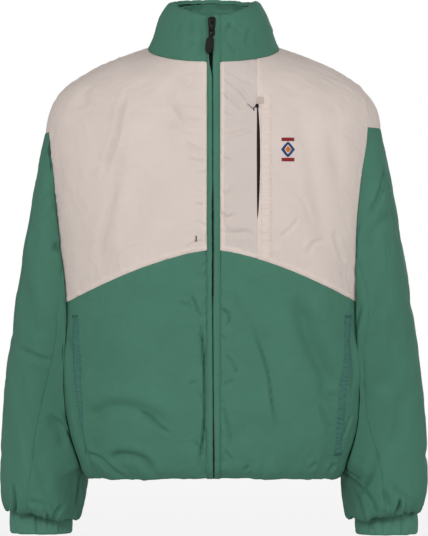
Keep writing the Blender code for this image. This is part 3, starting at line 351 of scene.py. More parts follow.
# %% The armhole, which body and sleeve share
SIDE_RADIUS = 200.0  # millimetres of the body's side for each radian of angle


def armhole(side, turn):
    """(angle, level) of the armhole seam. The turn is 0 at the shoulder tip and half a turn at
    the underarm, over the front. It is a squarish ellipse laid on the body."""
    turn = np.asarray(turn, float)
    tip = SHOULDER_TIP[side]
    middle = (tip + UNDERARM_LEVEL) / 2
    level = middle + (tip - middle) * np.cos(turn)
    bow = signed_power(np.sin(turn), np.where(np.cos(turn) > 0, *ARMHOLE_SQUARENESS))
    angle = bow * np.where(bow > 0, ARMHOLE_FRONT[side], ARMHOLE_BACK)
    return np.stack([math.pi - angle if side == "right" else angle, level], axis=-1)


def from_armhole(angle, level):
    """Rough distance in millimetres from a place on the body to the nearer armhole."""
    on_right = np.cos(angle) < 0
    tip = np.where(on_right, SHOULDER_TIP["right"], SHOULDER_TIP["left"])
    middle = (tip + UNDERARM_LEVEL) / 2
    share = np.clip(np.abs(level - middle) / (tip - middle), 0, 1)
    front = np.where(on_right, ARMHOLE_FRONT["right"], ARMHOLE_FRONT["left"])
    widest = np.where(np.sin(angle) > 0, front, ARMHOLE_BACK)
    upper, lower = ARMHOLE_SQUARENESS
    bow = widest * (1 - share**2) ** (np.where(level > middle, upper, lower) / 2)
    from_side = np.abs(np.arcsin(np.clip(np.sin(angle), -1, 1)))
    return np.clip(from_side - bow, 0, None) * SIDE_RADIUS + np.clip(UNDERARM_LEVEL - level, 0, None)


def yoke_level(side, face, angle):
    """Height of the colour seam: it falls from the centre to the armhole as the share across the
    body to the power YOKE_BEND. The face is 1 in front and -1 behind."""
    end_angle, end_level = armhole(side, math.pi - face * YOKE_TURN)
    share = np.abs(np.cos(angle) / np.cos(end_angle)) ** (2 / YOKE_ROUNDNESS)
    return YOKE_CENTRE_Z + (end_level - YOKE_CENTRE_Z) * share**YOKE_BEND


# %% Sleeves
HEM_TURN_Z = -606.0  # below this the body's cloth turns in to the hem
HUG, HUG_REACH = 0.97, 28.0  # a sleeve's inner side is drawn this much to the body, from so far
SEAM_STEP, ROW_STEP = 0.08, 0.3  # the turn and the station over which a slope is measured


def clear_of_body(side, point, turn, station):
    """Keeps a sleeve off the body's side, and lays its inner side along it."""
    forward = point[..., 1] < 0
    rings, sign = BODY_RINGS, SIDES[side]

    def rows(level):
        row = through(rings[:, 0], rings[:, 1:], np.clip(level, HEM_TURN_Z, NECK_LEVEL))
        depth = np.where(forward, row[..., 4], row[..., 5])
        return row, depth, row[..., 0] - np.where(forward, row[..., 1], row[..., 2])

    _, depth, fall = rows(point[..., 2])
    level = point[..., 2] + fall * np.clip(np.abs(point[..., 1]) / depth, 0, 1) ** 2
    row, depth, _ = rows(level)
    share = np.clip(np.abs(point[..., 1]) / depth, 0, 0.999) ** row[..., 6]
    wall_x = row[..., 3] * (1 - share) ** (1 / row[..., 6])
    wall_x = wall_x + ARM_CLEARANCE * np.clip(station / 1.2, 0, 1)
    from_side = np.arcsin(share**0.5) * np.where(forward, 1, -1)
    angle = from_side if side == "left" else math.pi - from_side
    beside_cloth = np.clip(from_armhole(angle, level) / 6 + 0.5, 0, 1)
    x = sign * point[..., 0]
    facing = np.clip(0.3 - 1.8 * np.cos(turn), 0, 1) * smooth((point[..., 2] + 622) / 24)
    spare = x - wall_x
    hugged = x - HUG * facing * np.clip(spare, 0, None) * np.exp(-((spare / HUG_REACH) ** 2))
    pushed = (hugged + wall_x + np.sqrt((hugged - wall_x) ** 2 + 1)) / 2
    settled = beside_cloth * np.clip(station / 0.5, 0, 1) * np.clip((point[..., 2] + 640) / 25, 0, 1)
    moved = point.copy()
    moved[..., 0] = sign * (x * (1 - settled) + pushed * settled)
    return moved


def section(number, turn, side):
    """One cross-section: a squarish ellipse from its outer to its inner point, bowed inwards."""
    outer_x, outer_z, inner_x, inner_z, bow, middle_y, half_depth, roundness = SLEEVE_STATIONS[number]
    settled = min((number + 1) / 5, 1)
    hole = np.where(np.sin(turn) > 0, ARMHOLE_DEPTH[side], ARMHOLE_DEPTH["back"])
    depth = hole * (1 - settled) + half_depth * settled
    across, forward = squarish(turn, roundness)
    bow = bow * np.where(np.sin(turn) > 0, SECTION_BOW[side], SECTION_BOW["back"])
    nestled = np.clip(-np.cos(turn), 0, 1) * np.clip(2 * np.sin(turn), 0, 2)
    nestled = nestled * NESTLE[side] * NESTLE_SHARE[number]
    x = inner_x + (outer_x - inner_x) / 2 * (1 + across) - bow * np.sin(turn) ** 2
    y = (middle_y - SLEEVE_FORWARD[side]) * settled - depth * forward - nestled
    z = inner_z + (outer_z - inner_z) / 2 * (1 + across)
    return np.stack([SIDES[side] * x, y, z], axis=-1)


def sleeve_skin(side, turn, station):
    """A sleeve without folds: a cubic down through its sections, whose seams twist round the arm."""
    turn, station = np.broadcast_arrays(np.asarray(turn, float), np.asarray(station, float))
    seam = armhole(side, turn)
    twisted = turn - SLEEVE_TWIST[side] * (station / LAST) ** 1.2
    rows = [ring_point(BODY_RINGS, seam[..., 0], seam[..., 1])]
    rows = np.stack(rows + [section(number, twisted, side) for number in range(LAST)])
    slopes = np.gradient(rows, axis=0)
    low = np.clip(np.floor(station).astype(int), 0, LAST - 1)
    t = (station - low)[..., None]
    here, below = (low, *np.indices(station.shape)), (low + 1, *np.indices(station.shape))
    point = between(rows[here], rows[below], slopes[here], slopes[below], t)
    return clear_of_body(side, point, twisted, station)


def sleeve_normal(side, turn, station):
    """Out of a sleeve. Over the shoulder it starts as the body's own, so that the walls meet."""
    over = sleeve_skin(side, turn + SEAM_STEP, station) - sleeve_skin(side, turn - SEAM_STEP, station)
    down = sleeve_skin(side, turn, np.minimum(station + ROW_STEP, LAST))
    down = down - sleeve_skin(side, turn, np.maximum(station - ROW_STEP, 0))
    seam = armhole(side, turn)
    body = ring_normal(BODY_RINGS, seam[..., 0], seam[..., 1], 1.0)
    share = np.clip(np.cos(turn) / 0.4, 0, 1) * np.clip(1 - station / 0.6, 0, 1)
    share = share[..., None]
    return unit(unit(np.cross(over, down)) * SIDES[side] * (1 - share) + body * share)


over_the_arm = np.diff(sleeve_skin("left", 0.0, np.linspace(0, LAST, 99)), axis=0)
print("sleeve length over the arm:", round(float(np.linalg.norm(over_the_arm, axis=1).sum())), "mm")

# %% [markdown]
# ## Creases and crumples
# Cloth that is worn and then laid flat keeps three kinds of relief: long creases that run in a
# known place, a soft crumple all over, and short puckers where a seam pulls. The creases are
# drawn as lines in a table, because each has its own place on the jacket. The crumple is random
# hills, which must be the same on every run, so each has a numbered seed.

# %% Random hills
LATTICE = 97, 89  # how many lattice points there are before the hills repeat


def cloud(a, b, spacing, seed):
    """Smooth hills from -1 to 1: random heights on a lattice, blended between by a smooth step."""
    heights = np.random.default_rng(seed).uniform(-1, 1, LATTICE)
    a, b = a / spacing, b / spacing
    i, j = np.floor(a).astype(int), np.floor(b).astype(int)
    u, v = smooth(a - i), smooth(b - j)

    def corner(di, dj):
        return heights[(i + di) % LATTICE[0], (j + dj) % LATTICE[1]]

    low = corner(0, 0) * (1 - u) + corner(1, 0) * u
    return low * (1 - v) + (corner(0, 1) * (1 - u) + corner(1, 1) * u) * v


def crumple(a, b, seed):
    """Soft dents, with thin ridges where a second set of hills passes through zero."""
    a, b = a + 9 * cloud(a, b, 45, seed + 1), b + 9 * cloud(a, b, 45, seed + 2)
    dents = 0.6 * cloud(a, b, 52, seed + 3) + 0.45 * cloud(a, b, 23, seed + 4)
    ridge = np.clip(1 - 7 * np.abs(cloud(a, b, 38, seed + 5)), 0, 1) ** 2
    fine = 0.26 * cloud(a, b, 10, seed + 7) + 0.12 * cloud(a, 0.35 * b, 5.5, seed + 8)
    return dents + 1.1 * ridge * cloud(a, b, 60, seed + 6) + fine


# %% Creases along drawn lines
SHARPNESS = 0.7  # of the tables' widths, which were read off soft shadows
END_FADE = 0.25  # the share of its length over which a crease fades out at each end
SWELL = 0.28  # the height of the swell beside a trough, as a share of its depth


def crease_field(x, z, creases):
    """A trough (or, with a positive height, a ridge) along each line, e^-(d/width)^2 in section,
    with a lower swell on both sides that leans to one of them, fading out at the line's ends."""
    field = np.zeros(np.shape(x))
    for width, height, lean, *flat in creases:
        knots = np.array(flat, float).reshape(-1, 2)
        steps = np.linspace(0, len(knots) - 1, 8 * (len(knots) - 1) + 1)
        line = through(np.arange(len(knots)), knots, steps)
        start, step = line[:-1], np.diff(line, axis=0)
        low, high = line.min(axis=0) - 4 * width, line.max(axis=0) + 4 * width
        near = (x > low[0]) & (x < high[0]) & (z > low[1]) & (z < high[1])
        from_start = np.stack([x[near], z[near]], axis=-1)[:, None] - start
        t = np.clip((from_start * step).sum(-1) / (step**2).sum(-1), 0, 1)
        offset = from_start - t[..., None] * step
        distance = np.linalg.norm(offset, axis=-1)
        closest = (np.arange(len(distance)), distance.argmin(axis=1))
        share = (closest[1] + t[closest]) / len(step)
        ahead, aside = step[closest[1]], offset[closest]
        hand = np.sign(ahead[:, 0] * aside[:, 1] - ahead[:, 1] * aside[:, 0])
        d = distance[closest] * hand / (SHARPNESS * width)
        fade = smooth(share / END_FADE) * smooth((1 - share) / END_FADE)
        swell = (1 + lean) * np.exp(-((d - 2) ** 2) / 1.7) + (1 - lean) * np.exp(-((d + 2) ** 2) / 1.7)
        field[near] += height * fade * (np.exp(-d * d) - SWELL * swell)
    return field


# %% The creases' lines
# Each row: width, height, lean, then the line's points as x, z, x, z... A negative height is a trough.
FRONT_CREASES = (
    # the right yoke
    (5, -2.6, -0.4, -121, -58, -131, -88, -137, -125, -149, -160, -161, -192),
    (7, -1.6, 0.2, -136, -190, -147, -232, -157, -272, -163, -310),
    (12, -1.3, 0, -68, -51, -66, -100, -64, -164),
    (12, -1.3, 0, -180, -51, -188, -91),
    (16, 2.2, 0, -112, -110, -128, -220, -142, -330),
    (4, -2, 0, -56, -36, -40, -53, -19, -64),
    (4, -2.2, 0.4, -60, -86, -51, -99, -40, -115, -10, -127),
    (4, -1.8, 0, -58, -97, -46, -118, -24, -128),
    (5, 1.2, 0, -56, -78, -44, -101, -14, -115),
    (3.5, -1.8, 0, -42, -138, -30, -146, -12, -155),
    (3.5, -1.4, 0, -40, -162, -12, -168),
    (3, -1.3, 0, -26, -186, -9, -180),
    (3, -1.4, 0, -26, -206, -10, -213),
    (3, -1.2, 0, -27, -229, -10, -226),
    (3, -1.2, 0, -24, -250, -11, -258),
    (3, -1.2, 0, -40, -290, -26, -281, -12, -279),
    # the left yoke
    (4.5, -1.9, 0, 11, -30, 34, -44, 58, -56),
    (4.5, -1.9, 0, 12, -44, 34, -60, 56, -84),
    (4, -1.7, 0, 11, -62, 28, -78, 44, -92),
    (4, -1.3, 0, 11, -90, 30, -100),
    (5, -1.8, 0.3, 12, -131, 38, -125, 57, -116),
    (4, -1.2, 0, 12, -160, 26, -168),
    (4, -1.6, 0, 10, -205, 18, -214, 30, -196),
    (4, -1.6, 0, 10, -237, 18, -246, 34, -240),
    (5, -1.6, 0, 11, -262, 26, -268, 46, -266, 60, -275),
    (4, -0.9, 0, 93, -273, 108, -262, 122, -243),
    (5, -1, 0, 131, -300, 142, -282, 160, -276),
    (5, -1.4, 0, 170, -262, 178, -290, 188, -312),
    (14, -1.7, 0.3, 164, -111, 175, -167, 178, -206),
    (6, -1.1, 0, 102, -189, 127, -223, 141, -263),
    (25, 1.5, 0, 125, -51, 142, -80, 160, -108),
    (14, -1.8, 0, 118, -70, 140, -180, 160, -300),
    # the right lower front
    (13, -3.4, 0.3, -190, -530, -168, -524, -143, -513, -111, -515, -85, -528, -58, -548),
    (4, -2.2, 0.3, -112, -517, -92, -527, -77, -540, -58, -552),
    (8, -3.6, 0.2, -152, -590, -133, -582, -112, -583, -94, -592, -85, -616),
    (4.5, -2.8, 0, -186, -577, -163, -587, -143, -604, -120, -618),
    (3, -3.6, 0.3, -21, -372, -16, -415, -13, -458, -12, -497, -13, -534, -17, -570, -25, -612),
    (2.6, -1.8, 0, -33, -352, -26, -366, -18, -388),
    (2.6, -1.6, 0, -16, -430, -24, -414),
    (2.6, -1.6, 0, -13, -452, -22, -440),
    (2.6, -1.6, 0, -13, -505, -21, -492),
    (2.6, -1.6, 0, -17, -575, -26, -560),
    (5, -1.8, 0, -50, -364, -39, -370, -33, -366),
    (4, -2, 0, -22, -408, -15, -422),
    (4, -1.6, 0, -36, -480, -25, -478),
    (8, 1.3, 0, -146, -403, -177, -454, -188, -502),
    (6, -5.5, 0.3, -210, -396, -206, -445, -200, -500, -192, -550, -184, -582, -174, -612),
    (20, -1.6, 0, -60, -400, -100, -470, -150, -490),
    # the left lower front
    (3.2, -2.2, 0.5, 51, -394, 65, -428, 77, -466, 83, -510, 91, -556),
    (19, -6.6, 0.5, 112, -350, 129, -388, 143, -428, 163, -470, 180, -505),
    (10, -3, 0.3, 150, -480, 165, -498, 182, -500),
    (3, -1.8, 0, 10, -372, 22, -384, 18, -402),
    (3, -1.8, 0, 14, -436, 28, -452, 34, -470),
    (3, -1.6, 0, 14, -572, 26, -588),
    (5, -2.2, 0, 150, -506, 159, -532, 168, -549),
    (5, -2.8, 0.3, 193, -410, 198, -440, 200, -471, 198, -500),
    (3, -2.4, 0, 197, -525, 190, -544, 183, -561),
    (4, -1.9, 0, 12, -498, 16, -527, 22, -547, 23, -577),
    (4, -1.6, 0, 12, -484, 29, -474),
    (4, -2, 0, 43, -605, 49, -595),
    (4, -2, 0, 136, -603, 147, -592),
    (4, -2, 0, 165, -608, 175, -595),
    (4, -1.2, 0, 10, -408, 18, -425),
    (16, 2.2, 0, 30, -330, 52, -375, 75, -420),
    (22, -1.4, 0, 100, -560, 60, -540, 30, -560),
)
BACK_CREASES = (
    (18, 2.6, 0, -150, -120, -130, -230, -110, -330),
    (18, 2.6, 0, 150, -120, 128, -230, 105, -340),
    (12, -2.2, 0.3, -168, -140, -176, -200, -168, -262),
    (10, -2, -0.3, 162, -132, 174, -190, 170, -250),
    (16, -3, 0.2, -60, -380, -88, -480, -120, -590),
    (16, -3, -0.2, 70, -360, 94, -480, 115, -590),
    (14, 2.4, 0, -10, -420, 4, -510, 15, -600),
    (8, -2.2, 0.3, -170, -470, -130, -500, -80, -512, -30, -506),
    (7, -1.8, 0, 30, -540, 80, -556, 130, -548, 160, -530),
    (6, -1.6, 0, -150, -560, -120, -575, -90, -596),
    (5, -1.4, 0, 60, -585, 72, -604),
    (9, -1.4, 0, -60, -60, -30, -84, 10, -92, 50, -80),
    (12, -1.5, 0, -90, -190, -40, -214, 20, -208),
    (10, -1.3, 0, 120, -300, 60, -318, 10, -306),
    (7, -1.8, 0.2, -200, -292, -178, -326, -148, -346),
    (7, -1.8, -0.2, 198, -284, 172, -322, 144, -338),
    (8, -1.6, 0, -126, -414, -98, -444, -56, -456),
    (8, -1.6, 0, 20, -388, 58, -418, 120, -428),
    (6, -1.6, 0, 18, -606, 24, -584, 30, -562),
    (6, -1.5, 0, -38, -608, -42, -590, -34, -570),
    (7, -1.8, 0.3, 176, -556, 154, -584, 138, -612),
    (15, -1.8, 0, -14, -120, -20, -210, -4, -300),
)
COLLAR_CREASES = (
    (3.5, -1.2, 0, 28, 34, 20, 26, 14, 14, 10, 1),
    (3.5, -0.9, 0, 19, 32, 39, 19),
    (3, -0.9, 0, 10, 15, 37, -16),
    (4, -0.9, 0, -47, 32, -53, 19),
    (4, -0.9, 0, -27, 5, -39, -1),
    (5, -0.8, 0, -33, 38, -33, 14),
    (4, -1, 0, -17, 33, -15, 8),
    (5, -0.9, 0, 52, 28, 46, 0),
)
SLEEVE_CREASES = {
    "right": (
        (5, -2, 0, -239, -142, -233, -157),
        (10, -3.2, 0.3, -235, -283, -228, -288, -220, -290),
        (6, -2.4, 0, -288, -430, -259, -444, -242, -452),
        (5, -3.2, 0.3, -252, -523, -232, -541, -218, -553, -205, -574),
        (7, -2.4, 0, -247, -530, -232, -553, -226, -580),
        (11, -2.2, 0, -262, -577, -251, -606, -237, -649),
        (5, -1.6, 0, -275, -656, -250, -657, -223, -666),
        (3.6, -7.5, 0.4, -293, -628, -288, -645, -287, -662, -288, -684),
        (3.5, -3.2, 0, -192, -606, -195, -636, -198, -668),
        (3.5, -3, 0, -184, -634, -192, -672),
        (3.5, -2.4, 0, -215, -655, -228, -668, -236, -684),
        (3.5, -2.6, 0, -246, -662, -240, -672, -243, -686),
        (12, -2, 0, -270, -330, -262, -390, -250, -420),
        (14, 2, 0, -262, -200, -268, -260, -276, -320),
    ),
    "left": (
        (5, -3, 0.4, 249, -171, 236, -215, 219, -243),
        (4, -2, 0, 252, -192, 240, -208),
        (9, -2.2, 0, 263, -233, 235, -257, 216, -305),
        (5, -3, 0.3, 223, -355, 216, -391, 211, -417, 210, -436),
        (18, -3.2, 0, 262, -385, 258, -462, 244, -500),
        (18, -3.4, 0, 279, -470, 274, -520, 268, -556, 256, -590),
        (10, -2.6, 0, 204, -540, 196, -577, 187, -600),
        (3.2, -2.8, 0.2, 177, -602, 196, -618, 219, -642),
        (3, -2, 0, 183, -600, 199, -611, 212, -622),
        (5, -2.8, 0.2, 241, -576, 228, -611, 209, -642),
        (3.5, -1.6, 0, 214, -634, 228, -652, 238, -672),
        (3.5, -2.2, 0, 204, -640, 212, -660, 222, -684),
        (5, -2, 0, 253, -628, 286, -656),
        (5, -2.4, 0, 243, -634, 254, -665),
        (3.4, -4.8, 0.3, 271, -645, 269, -657, 266, -667, 259, -677),
        (16, 2, 0, 262, -330, 266, -400, 256, -470),
    ),
}
# Folds behind the arm and on its outer side: turn and station of both ends, width, height.
ARM_FOLDS = {
    "right": (
        (60, 5, 120, 6.6, 0.2, -3.2), (60, 6.8, 118, 8.6, 0.22, -3.2),
        (150, 7.5, 100, 9, 0.2, -3), (200, 5.2, 290, 7.4, 0.26, -4),
        (230, 7.6, 320, 9.2, 0.24, -3.6), (330, 5.6, 395, 6.8, 0.22, -2.6),
        (310, 3, 250, 4.2, 0.24, -3), (340, 9.2, 400, 10.2, 0.22, -2.4),
    ),
    "left": (
        (70, 3, 30, 4.4, 0.22, -2.6), (150, 7.2, 105, 9, 0.22, -3),
        (100, 8.8, 50, 7.6, 0.2, -2.6), (210, 5, 300, 7, 0.26, -4),
        (240, 7.4, 330, 9, 0.24, -3.6), (325, 4.8, 390, 6.2, 0.22, -2.6),
        (300, 2.6, 245, 4, 0.24, -3), (335, 9, 395, 10.4, 0.22, -2.4),
    ),
}
print("creases drawn:", len(FRONT_CREASES + BACK_CREASES), "on the body")

# %% [markdown]
# ## Cloth laid on the surfaces
# Each function below returns points and the directions out of the cloth, for any places on a
# surface. The relief dies away where pieces are sewn to a zip, a collar or a sleeve, because
# the seam line itself holds the cloth to its cut shape.

# %% The body's cloth
ROUND_BODY = 172.0  # millimetres of cloth for each radian of angle, near enough for a crumple
CREASE_DEPTH = 1.5  # the tables' heights are what the eye reads, and the light is soft
BACK_DEPTH = 1.5  # and again for the back, whose creases are fewer
NECK_FADE, ARMHOLE_FADE, HEM_FADE, ZIP_FADE = 30, 22, 14, 4  # how far from a seam relief is whole
UNDER_ARM = 0.35  # the sine of the angle up to which an arm lies on the body's side


def body_cloth(angle, level, out=0.0):
    """Rings, plus creases seen from the front or the back, crumple, and gathers at the hem."""
    flat = ring_point(BODY_RINGS, angle, level)
    normal = ring_normal(BODY_RINGS, angle, level, 1.0)
    x, y, z = np.moveaxis(flat, -1, 0)
    round_it = np.asarray(angle) * ROUND_BODY
    before, behind = (np.clip(0.2 + face * 2.5 * normal[..., 1], 0, 1) for face in (-1, 1))
    folds = before * crease_field(x, z, FRONT_CREASES)
    folds = folds + BACK_DEPTH * behind * crease_field(x, z, BACK_CREASES)
    folds = CREASE_DEPTH * folds + 1.15 * crumple(round_it, level, 11)
    folds = folds * np.clip((NECK_LEVEL - level) / NECK_FADE, 0, 1)
    folds = folds * smooth(from_armhole(angle, level) / ARMHOLE_FADE)
    folds = folds * (0.2 + 0.8 * smooth(np.abs(np.sin(angle)) / UNDER_ARM))
    near_hem = np.exp(-(((level - HEM_TURN_Z) / 30) ** 2)) * smooth((level - HEM_LEVEL) / HEM_FADE)
    bumps = 0.5 * np.cos(15 * angle + 0.7) + 0.9 * cloud(round_it, 0.3 * level, 17, 31)
    bumps = bumps + 0.9 * cloud(round_it, 0.3 * level, 7, 32)
    by_zip = np.where(y < 0, smooth((np.abs(x) - BAND_EDGE_X) / ZIP_FADE), 1.0)
    relief = (folds + near_hem * bumps) * by_zip
    return flat + normal * (relief + out)[..., None], normal


# %% The sleeves' cloth
ROUND_ARM = 88.0  # millimetres of cloth for each radian of turn
GATHERS_FROM = 10.9  # the station at which the gathers into the cuff begin
ROLL_AT, ROLL_WIDTH, ROLL_DROP = 12.6, 0.9, 6.0  # the puff's lowest roll: stations, and millimetres
WHOLE_TURN = 3.6  # in hundreds of degrees, which the arm's folds are reckoned in
FOLD_SAG = 0.12  # how many stations a fold's middle hangs below its ends


def arm_folds(side, turn, station, behind):
    """The folds behind the arm, each drawn again a whole turn back, so that none is cut."""
    hundreds = np.degrees(turn) % 360 / 100
    for turn0, at0, turn1, at1, width, height in ARM_FOLDS[side]:
        line = np.array([turn0, at0 * 100, turn1, at1 * 100]) / 100
        for wrap in (0, WHOLE_TURN):
            ends = (line - [wrap, 0, wrap, 0]).reshape(2, 2)
            middle = ends.mean(axis=0) + [0, FOLD_SAG]
            row = (width, height, 0.2, *ends[0], *middle, *ends[1])
            yield crease_field(hundreds, station, (row,)) * behind


def sleeve_cloth(side, turn, station, out=0.0):
    """The sleeve's skin, plus creases, crumple, and gathers that deepen towards the cuff. The
    puff's lowest roll is drawn up unevenly, and hangs lower on its inner side."""
    turn, station = np.broadcast_arrays(np.asarray(turn, float), np.asarray(station, float))
    normal = sleeve_normal(side, turn, station)
    skin = sleeve_skin(side, turn, station)
    round_it, seed = turn * ROUND_ARM, 50 if side == "left" else 70
    down = skin[..., 2]
    before = np.clip(0.2 - 2.5 * normal[..., 1], 0, 1)
    folds = CREASE_DEPTH * before * crease_field(skin[..., 0], down, SLEEVE_CREASES[side])
    for fold in arm_folds(side, turn, station, np.clip(1.4 + 2 * normal[..., 1], 0, 1)):
        folds = folds + fold
    folds = folds + 1.3 * crumple(round_it, down, seed)
    close = smooth((station - GATHERS_FROM) / 3.0) * smooth((LAST - station) / 0.8)
    pleats = 2.2 * cloud(round_it, 0.16 * down, 11, seed + 8)
    pleats = pleats + 1.9 * cloud(round_it, 0.2 * down, 5.5, seed + 9)
    folds = folds + close * (pleats + 1.4 * np.cos(7 * turn + 0.4))
    folds = folds * smooth(station / 0.9)
    cloth = clear_of_body(side, skin + normal * folds[..., None], turn, station)
    roll = np.exp(-(((station - ROLL_AT) / ROLL_WIDTH) ** 2))
    inwards = -np.cos(turn - SLEEVE_TWIST[side] * (station / LAST) ** 1.2)
    inner = smooth((0.15 + inwards) / 0.7) * (1 - smooth((inwards - 0.55) / 0.4))
    uneven = 1.1 * (1 + cloud(round_it, 0 * down, 30, seed + 10))
    cloth[..., 2] += roll * (uneven - ROLL_DROP * inner)
    return cloth + normal * np.asarray(out)[..., None], normal


# %% The collar's cloth
ROUND_COLLAR, COLLAR_HEIGHT = 88.0, 62.0  # millimetres for a radian, and from seam to top edge
COLLAR_STEP = 0.02  # the share of that height over which a slope is measured


def collar_cloth(angle, level, out=0.0):
    """The collar's rings, padded out between its seams, with small gathers above the neck seam
    and where the top edge rolls over."""
    flat = ring_point(COLLAR_RINGS, angle, level)
    normal = ring_normal(COLLAR_RINGS, angle, level, COLLAR_STEP)
    round_it = np.asarray(angle) * ROUND_COLLAR
    up = level * COLLAR_HEIGHT
    off_zip = smooth((np.abs(np.cos(angle)) * 90 - 6) / 12)
    puff = 1.7 * np.sin(math.pi * np.clip(level, 0, 1)) ** 0.7 * off_zip
    low, high = np.exp(-level / 0.22), np.exp(-((level - 0.97) ** 2) / 0.02)
    gathers = (0.9 * low + 0.9 * high) * cloud(round_it, 0.25 * up, 7, 91)
    creases = crease_field(flat[..., 0], flat[..., 2], COLLAR_CREASES)
    folds = 2.4 * np.clip(-2 * normal[..., 1], 0, 1) * creases
    folds = (folds + 1.2 * crumple(round_it, up, 92)) * smooth(level / 0.15)
    relief = puff + (gathers + folds) * off_zip
    return flat + normal * (relief + out)[..., None], normal


print("half a metre down the front:", body_cloth(*front_place(-120.0, -500.0))[0].round(1).tolist())

# %% [markdown]
# ## From a grid of points to a piece of cloth
# A garment's wall is outer cloth, thin padding and lining. Each piece is therefore a closed
# shell: an outer face, an inner face and a rim. It could be one sheet with a Solidify modifier,
# but then the rim would stand square at each seam. Here both faces are worked out, so the outer
# one can dip into its seams. The cloth's own lengths become its UV map, in metres, so that a
# weave keeps its scale on every piece.

# %% Even grids between four edges


def lengths(points, axis):
    """Distance travelled along a grid's lines, in the grid's own units."""
    steps = np.linalg.norm(np.diff(points, axis=axis), axis=-1)
    first = np.zeros_like(np.take(steps, [0], axis=axis))
    return np.concatenate([first, np.cumsum(steps, axis=axis)], axis=axis)


def resampled(rows, travelled, at):
    """The rows of a line at other distances along it."""
    return np.stack([np.interp(at, travelled, column) for column in rows.T], axis=-1)


def on_cloth(edge, surface):
    """Distance travelled along an edge on the cloth."""
    return lengths(surface(edge[:, 0], edge[:, 1])[0], 0)


def even(edge, count, surface):
    """The same edge with count steps of equal length on the cloth."""
    travelled = on_cloth(edge, surface)
    return resampled(edge, travelled, np.linspace(0, travelled[-1], count + 1))


def patch(bottom, top, left, right, spacing, surface):
    """A grid between four edges: a Coons patch, which is the sum of the two ruled surfaces
    between opposite edges, less the one through the corners."""
    across, along = (
        max(4, round(max(on_cloth(edge, surface)[-1] for edge in pair) / spacing))
        for pair in ((bottom, top), (left, right))
    )
    bottom, top = even(bottom, across, surface), even(top, across, surface)
    left, right = even(left, along, surface), even(right, along, surface)
    u = np.linspace(0, 1, across + 1)[:, None, None]
    v = np.linspace(0, 1, along + 1)[None, :, None]
    first, last = (1 - v) * bottom[0] + v * top[0], (1 - v) * bottom[-1] + v * top[-1]
    ruled = (1 - v) * bottom[:, None] + v * top[:, None] + (1 - u) * left[None] + u * right[None]
    return ruled - ((1 - u) * first + u * last)


def pulled_in(points, gap):
    """Draws a grid's four edges in by this much, so that sewn neighbours don't touch."""
    points = points.copy()
    for axis in (0, 1):
        lines = np.moveaxis(points, axis, 0)
        for edge, inner in ((0, 1), (-1, -2)):
            lines[edge] += unit(lines[inner] - lines[edge]) * gap
    return points


# %% Shells
triangles = {}  # how many each mesh has
SHARP = math.radians(55)  # edges sharper than this stay sharp


def facing_inwards(points, faces):
    """Whether a closed mesh is inside out: its volume is negative then."""
    corners = points[faces]
    halves = (np.linalg.det(corners[:, corner]).sum() for corner in ([0, 1, 2], [0, 2, 3]))
    return sum(halves) < 0


def mesh_piece(name, points, faces, uvs, slots, materials):
    """A mesh from arrays of points (mm), four-cornered faces, their corners' UVs and material
    numbers, with its faces turned to point outwards."""
    if facing_inwards(points, faces):
        faces, uvs = faces[:, ::-1], uvs[:, ::-1]
    mesh = bpy.data.meshes.new(name)
    mesh.from_pydata((points * MM).tolist(), [], faces.tolist())
    mesh.uv_layers.new(name="cloth").data.foreach_set("uv", np.ravel(uvs * MM))
    for material in materials:
        mesh.materials.append(material)
    mesh.polygons.foreach_set("material_index", slots)
    mesh.shade_smooth()
    mesh.set_sharp_from_angle(angle=SHARP)
    piece = bpy.data.objects.new(name, mesh)
    scene.collection.objects.link(piece)
    triangles[name] = 2 * len(faces)
    return piece


def cells(index):
    """The corner numbers of the cells of a grid of point numbers."""
    near, far = index[:-1], index[1:]
    return np.stack([near[:, :-1], far[:, :-1], far[:, 1:], near[:, 1:]], axis=-1).reshape(-1, 4)


def shell(name, outer, inner, outside, inside, wrap=False, marked=None, mark=None):
    """A closed wall between two equal grids of points. A wrapped one goes all round and its two
    grids end with a copy of their first row, which is only there to carry the UVs. Marked places
    of the outer face can have a material of their own."""
    rows, columns = outer.shape[:2]
    uv = np.stack([lengths(outer, 0), lengths(outer, 1)], axis=-1).reshape(-1, 2)
    count = rows * columns
    index = np.arange(count).reshape(rows, columns)
    ends = index.copy()
    if wrap:
        ends[-1] = index[0]
    face, plain = cells(ends), cells(index)
    sides = [(ends[:-1, 0], ends[1:, 0]), (ends[1:, -1], ends[:-1, -1])]
    flat_sides = [(index[:-1, 0], index[1:, 0]), (index[1:, -1], index[:-1, -1])]
    if not wrap:
        sides += [(index[0, 1:], index[0, :-1]), (index[-1, :-1], index[-1, 1:])]
        flat_sides = sides
    rims = [np.stack([b, a, a + count, b + count], axis=-1) for a, b in sides]
    rim_uvs = [np.stack([b, a, a, b], axis=-1) for a, b in flat_sides]
    faces = np.concatenate([face, face[:, ::-1] + count, *rims])
    uv_faces = np.concatenate([plain, plain[:, ::-1], *rim_uvs])
    slots = np.repeat([0, 1, 0], [len(face), len(face), sum(map(len, rims))])
    materials = [outside, inside]
    if mark:
        materials.append(mark)
        slots[: len(face)] = 2 * (marked[:-1, :-1] & marked[1:, 1:]).ravel()
    points = np.concatenate([outer.reshape(-1, 3), inner.reshape(-1, 3)])
    if wrap:
        used, faces = np.unique(faces, return_inverse=True)
        points, faces = points[used], faces.reshape(-1, 4)
    return mesh_piece(name, points, faces, uv[uv_faces], slots, materials)


# %% Seams
ALLOWANCE, PRESSED = 8.0, 6.5  # how wide an allowance is, and from where it thins to its edge
GROOVE, GROOVE_WIDTH, DIP_WIDTH = 0.3, 1.5, 6.0  # a groove in the seam, and a dip towards it
PUCKER_REACH = 15.0  # how far from the seam its puckers fade


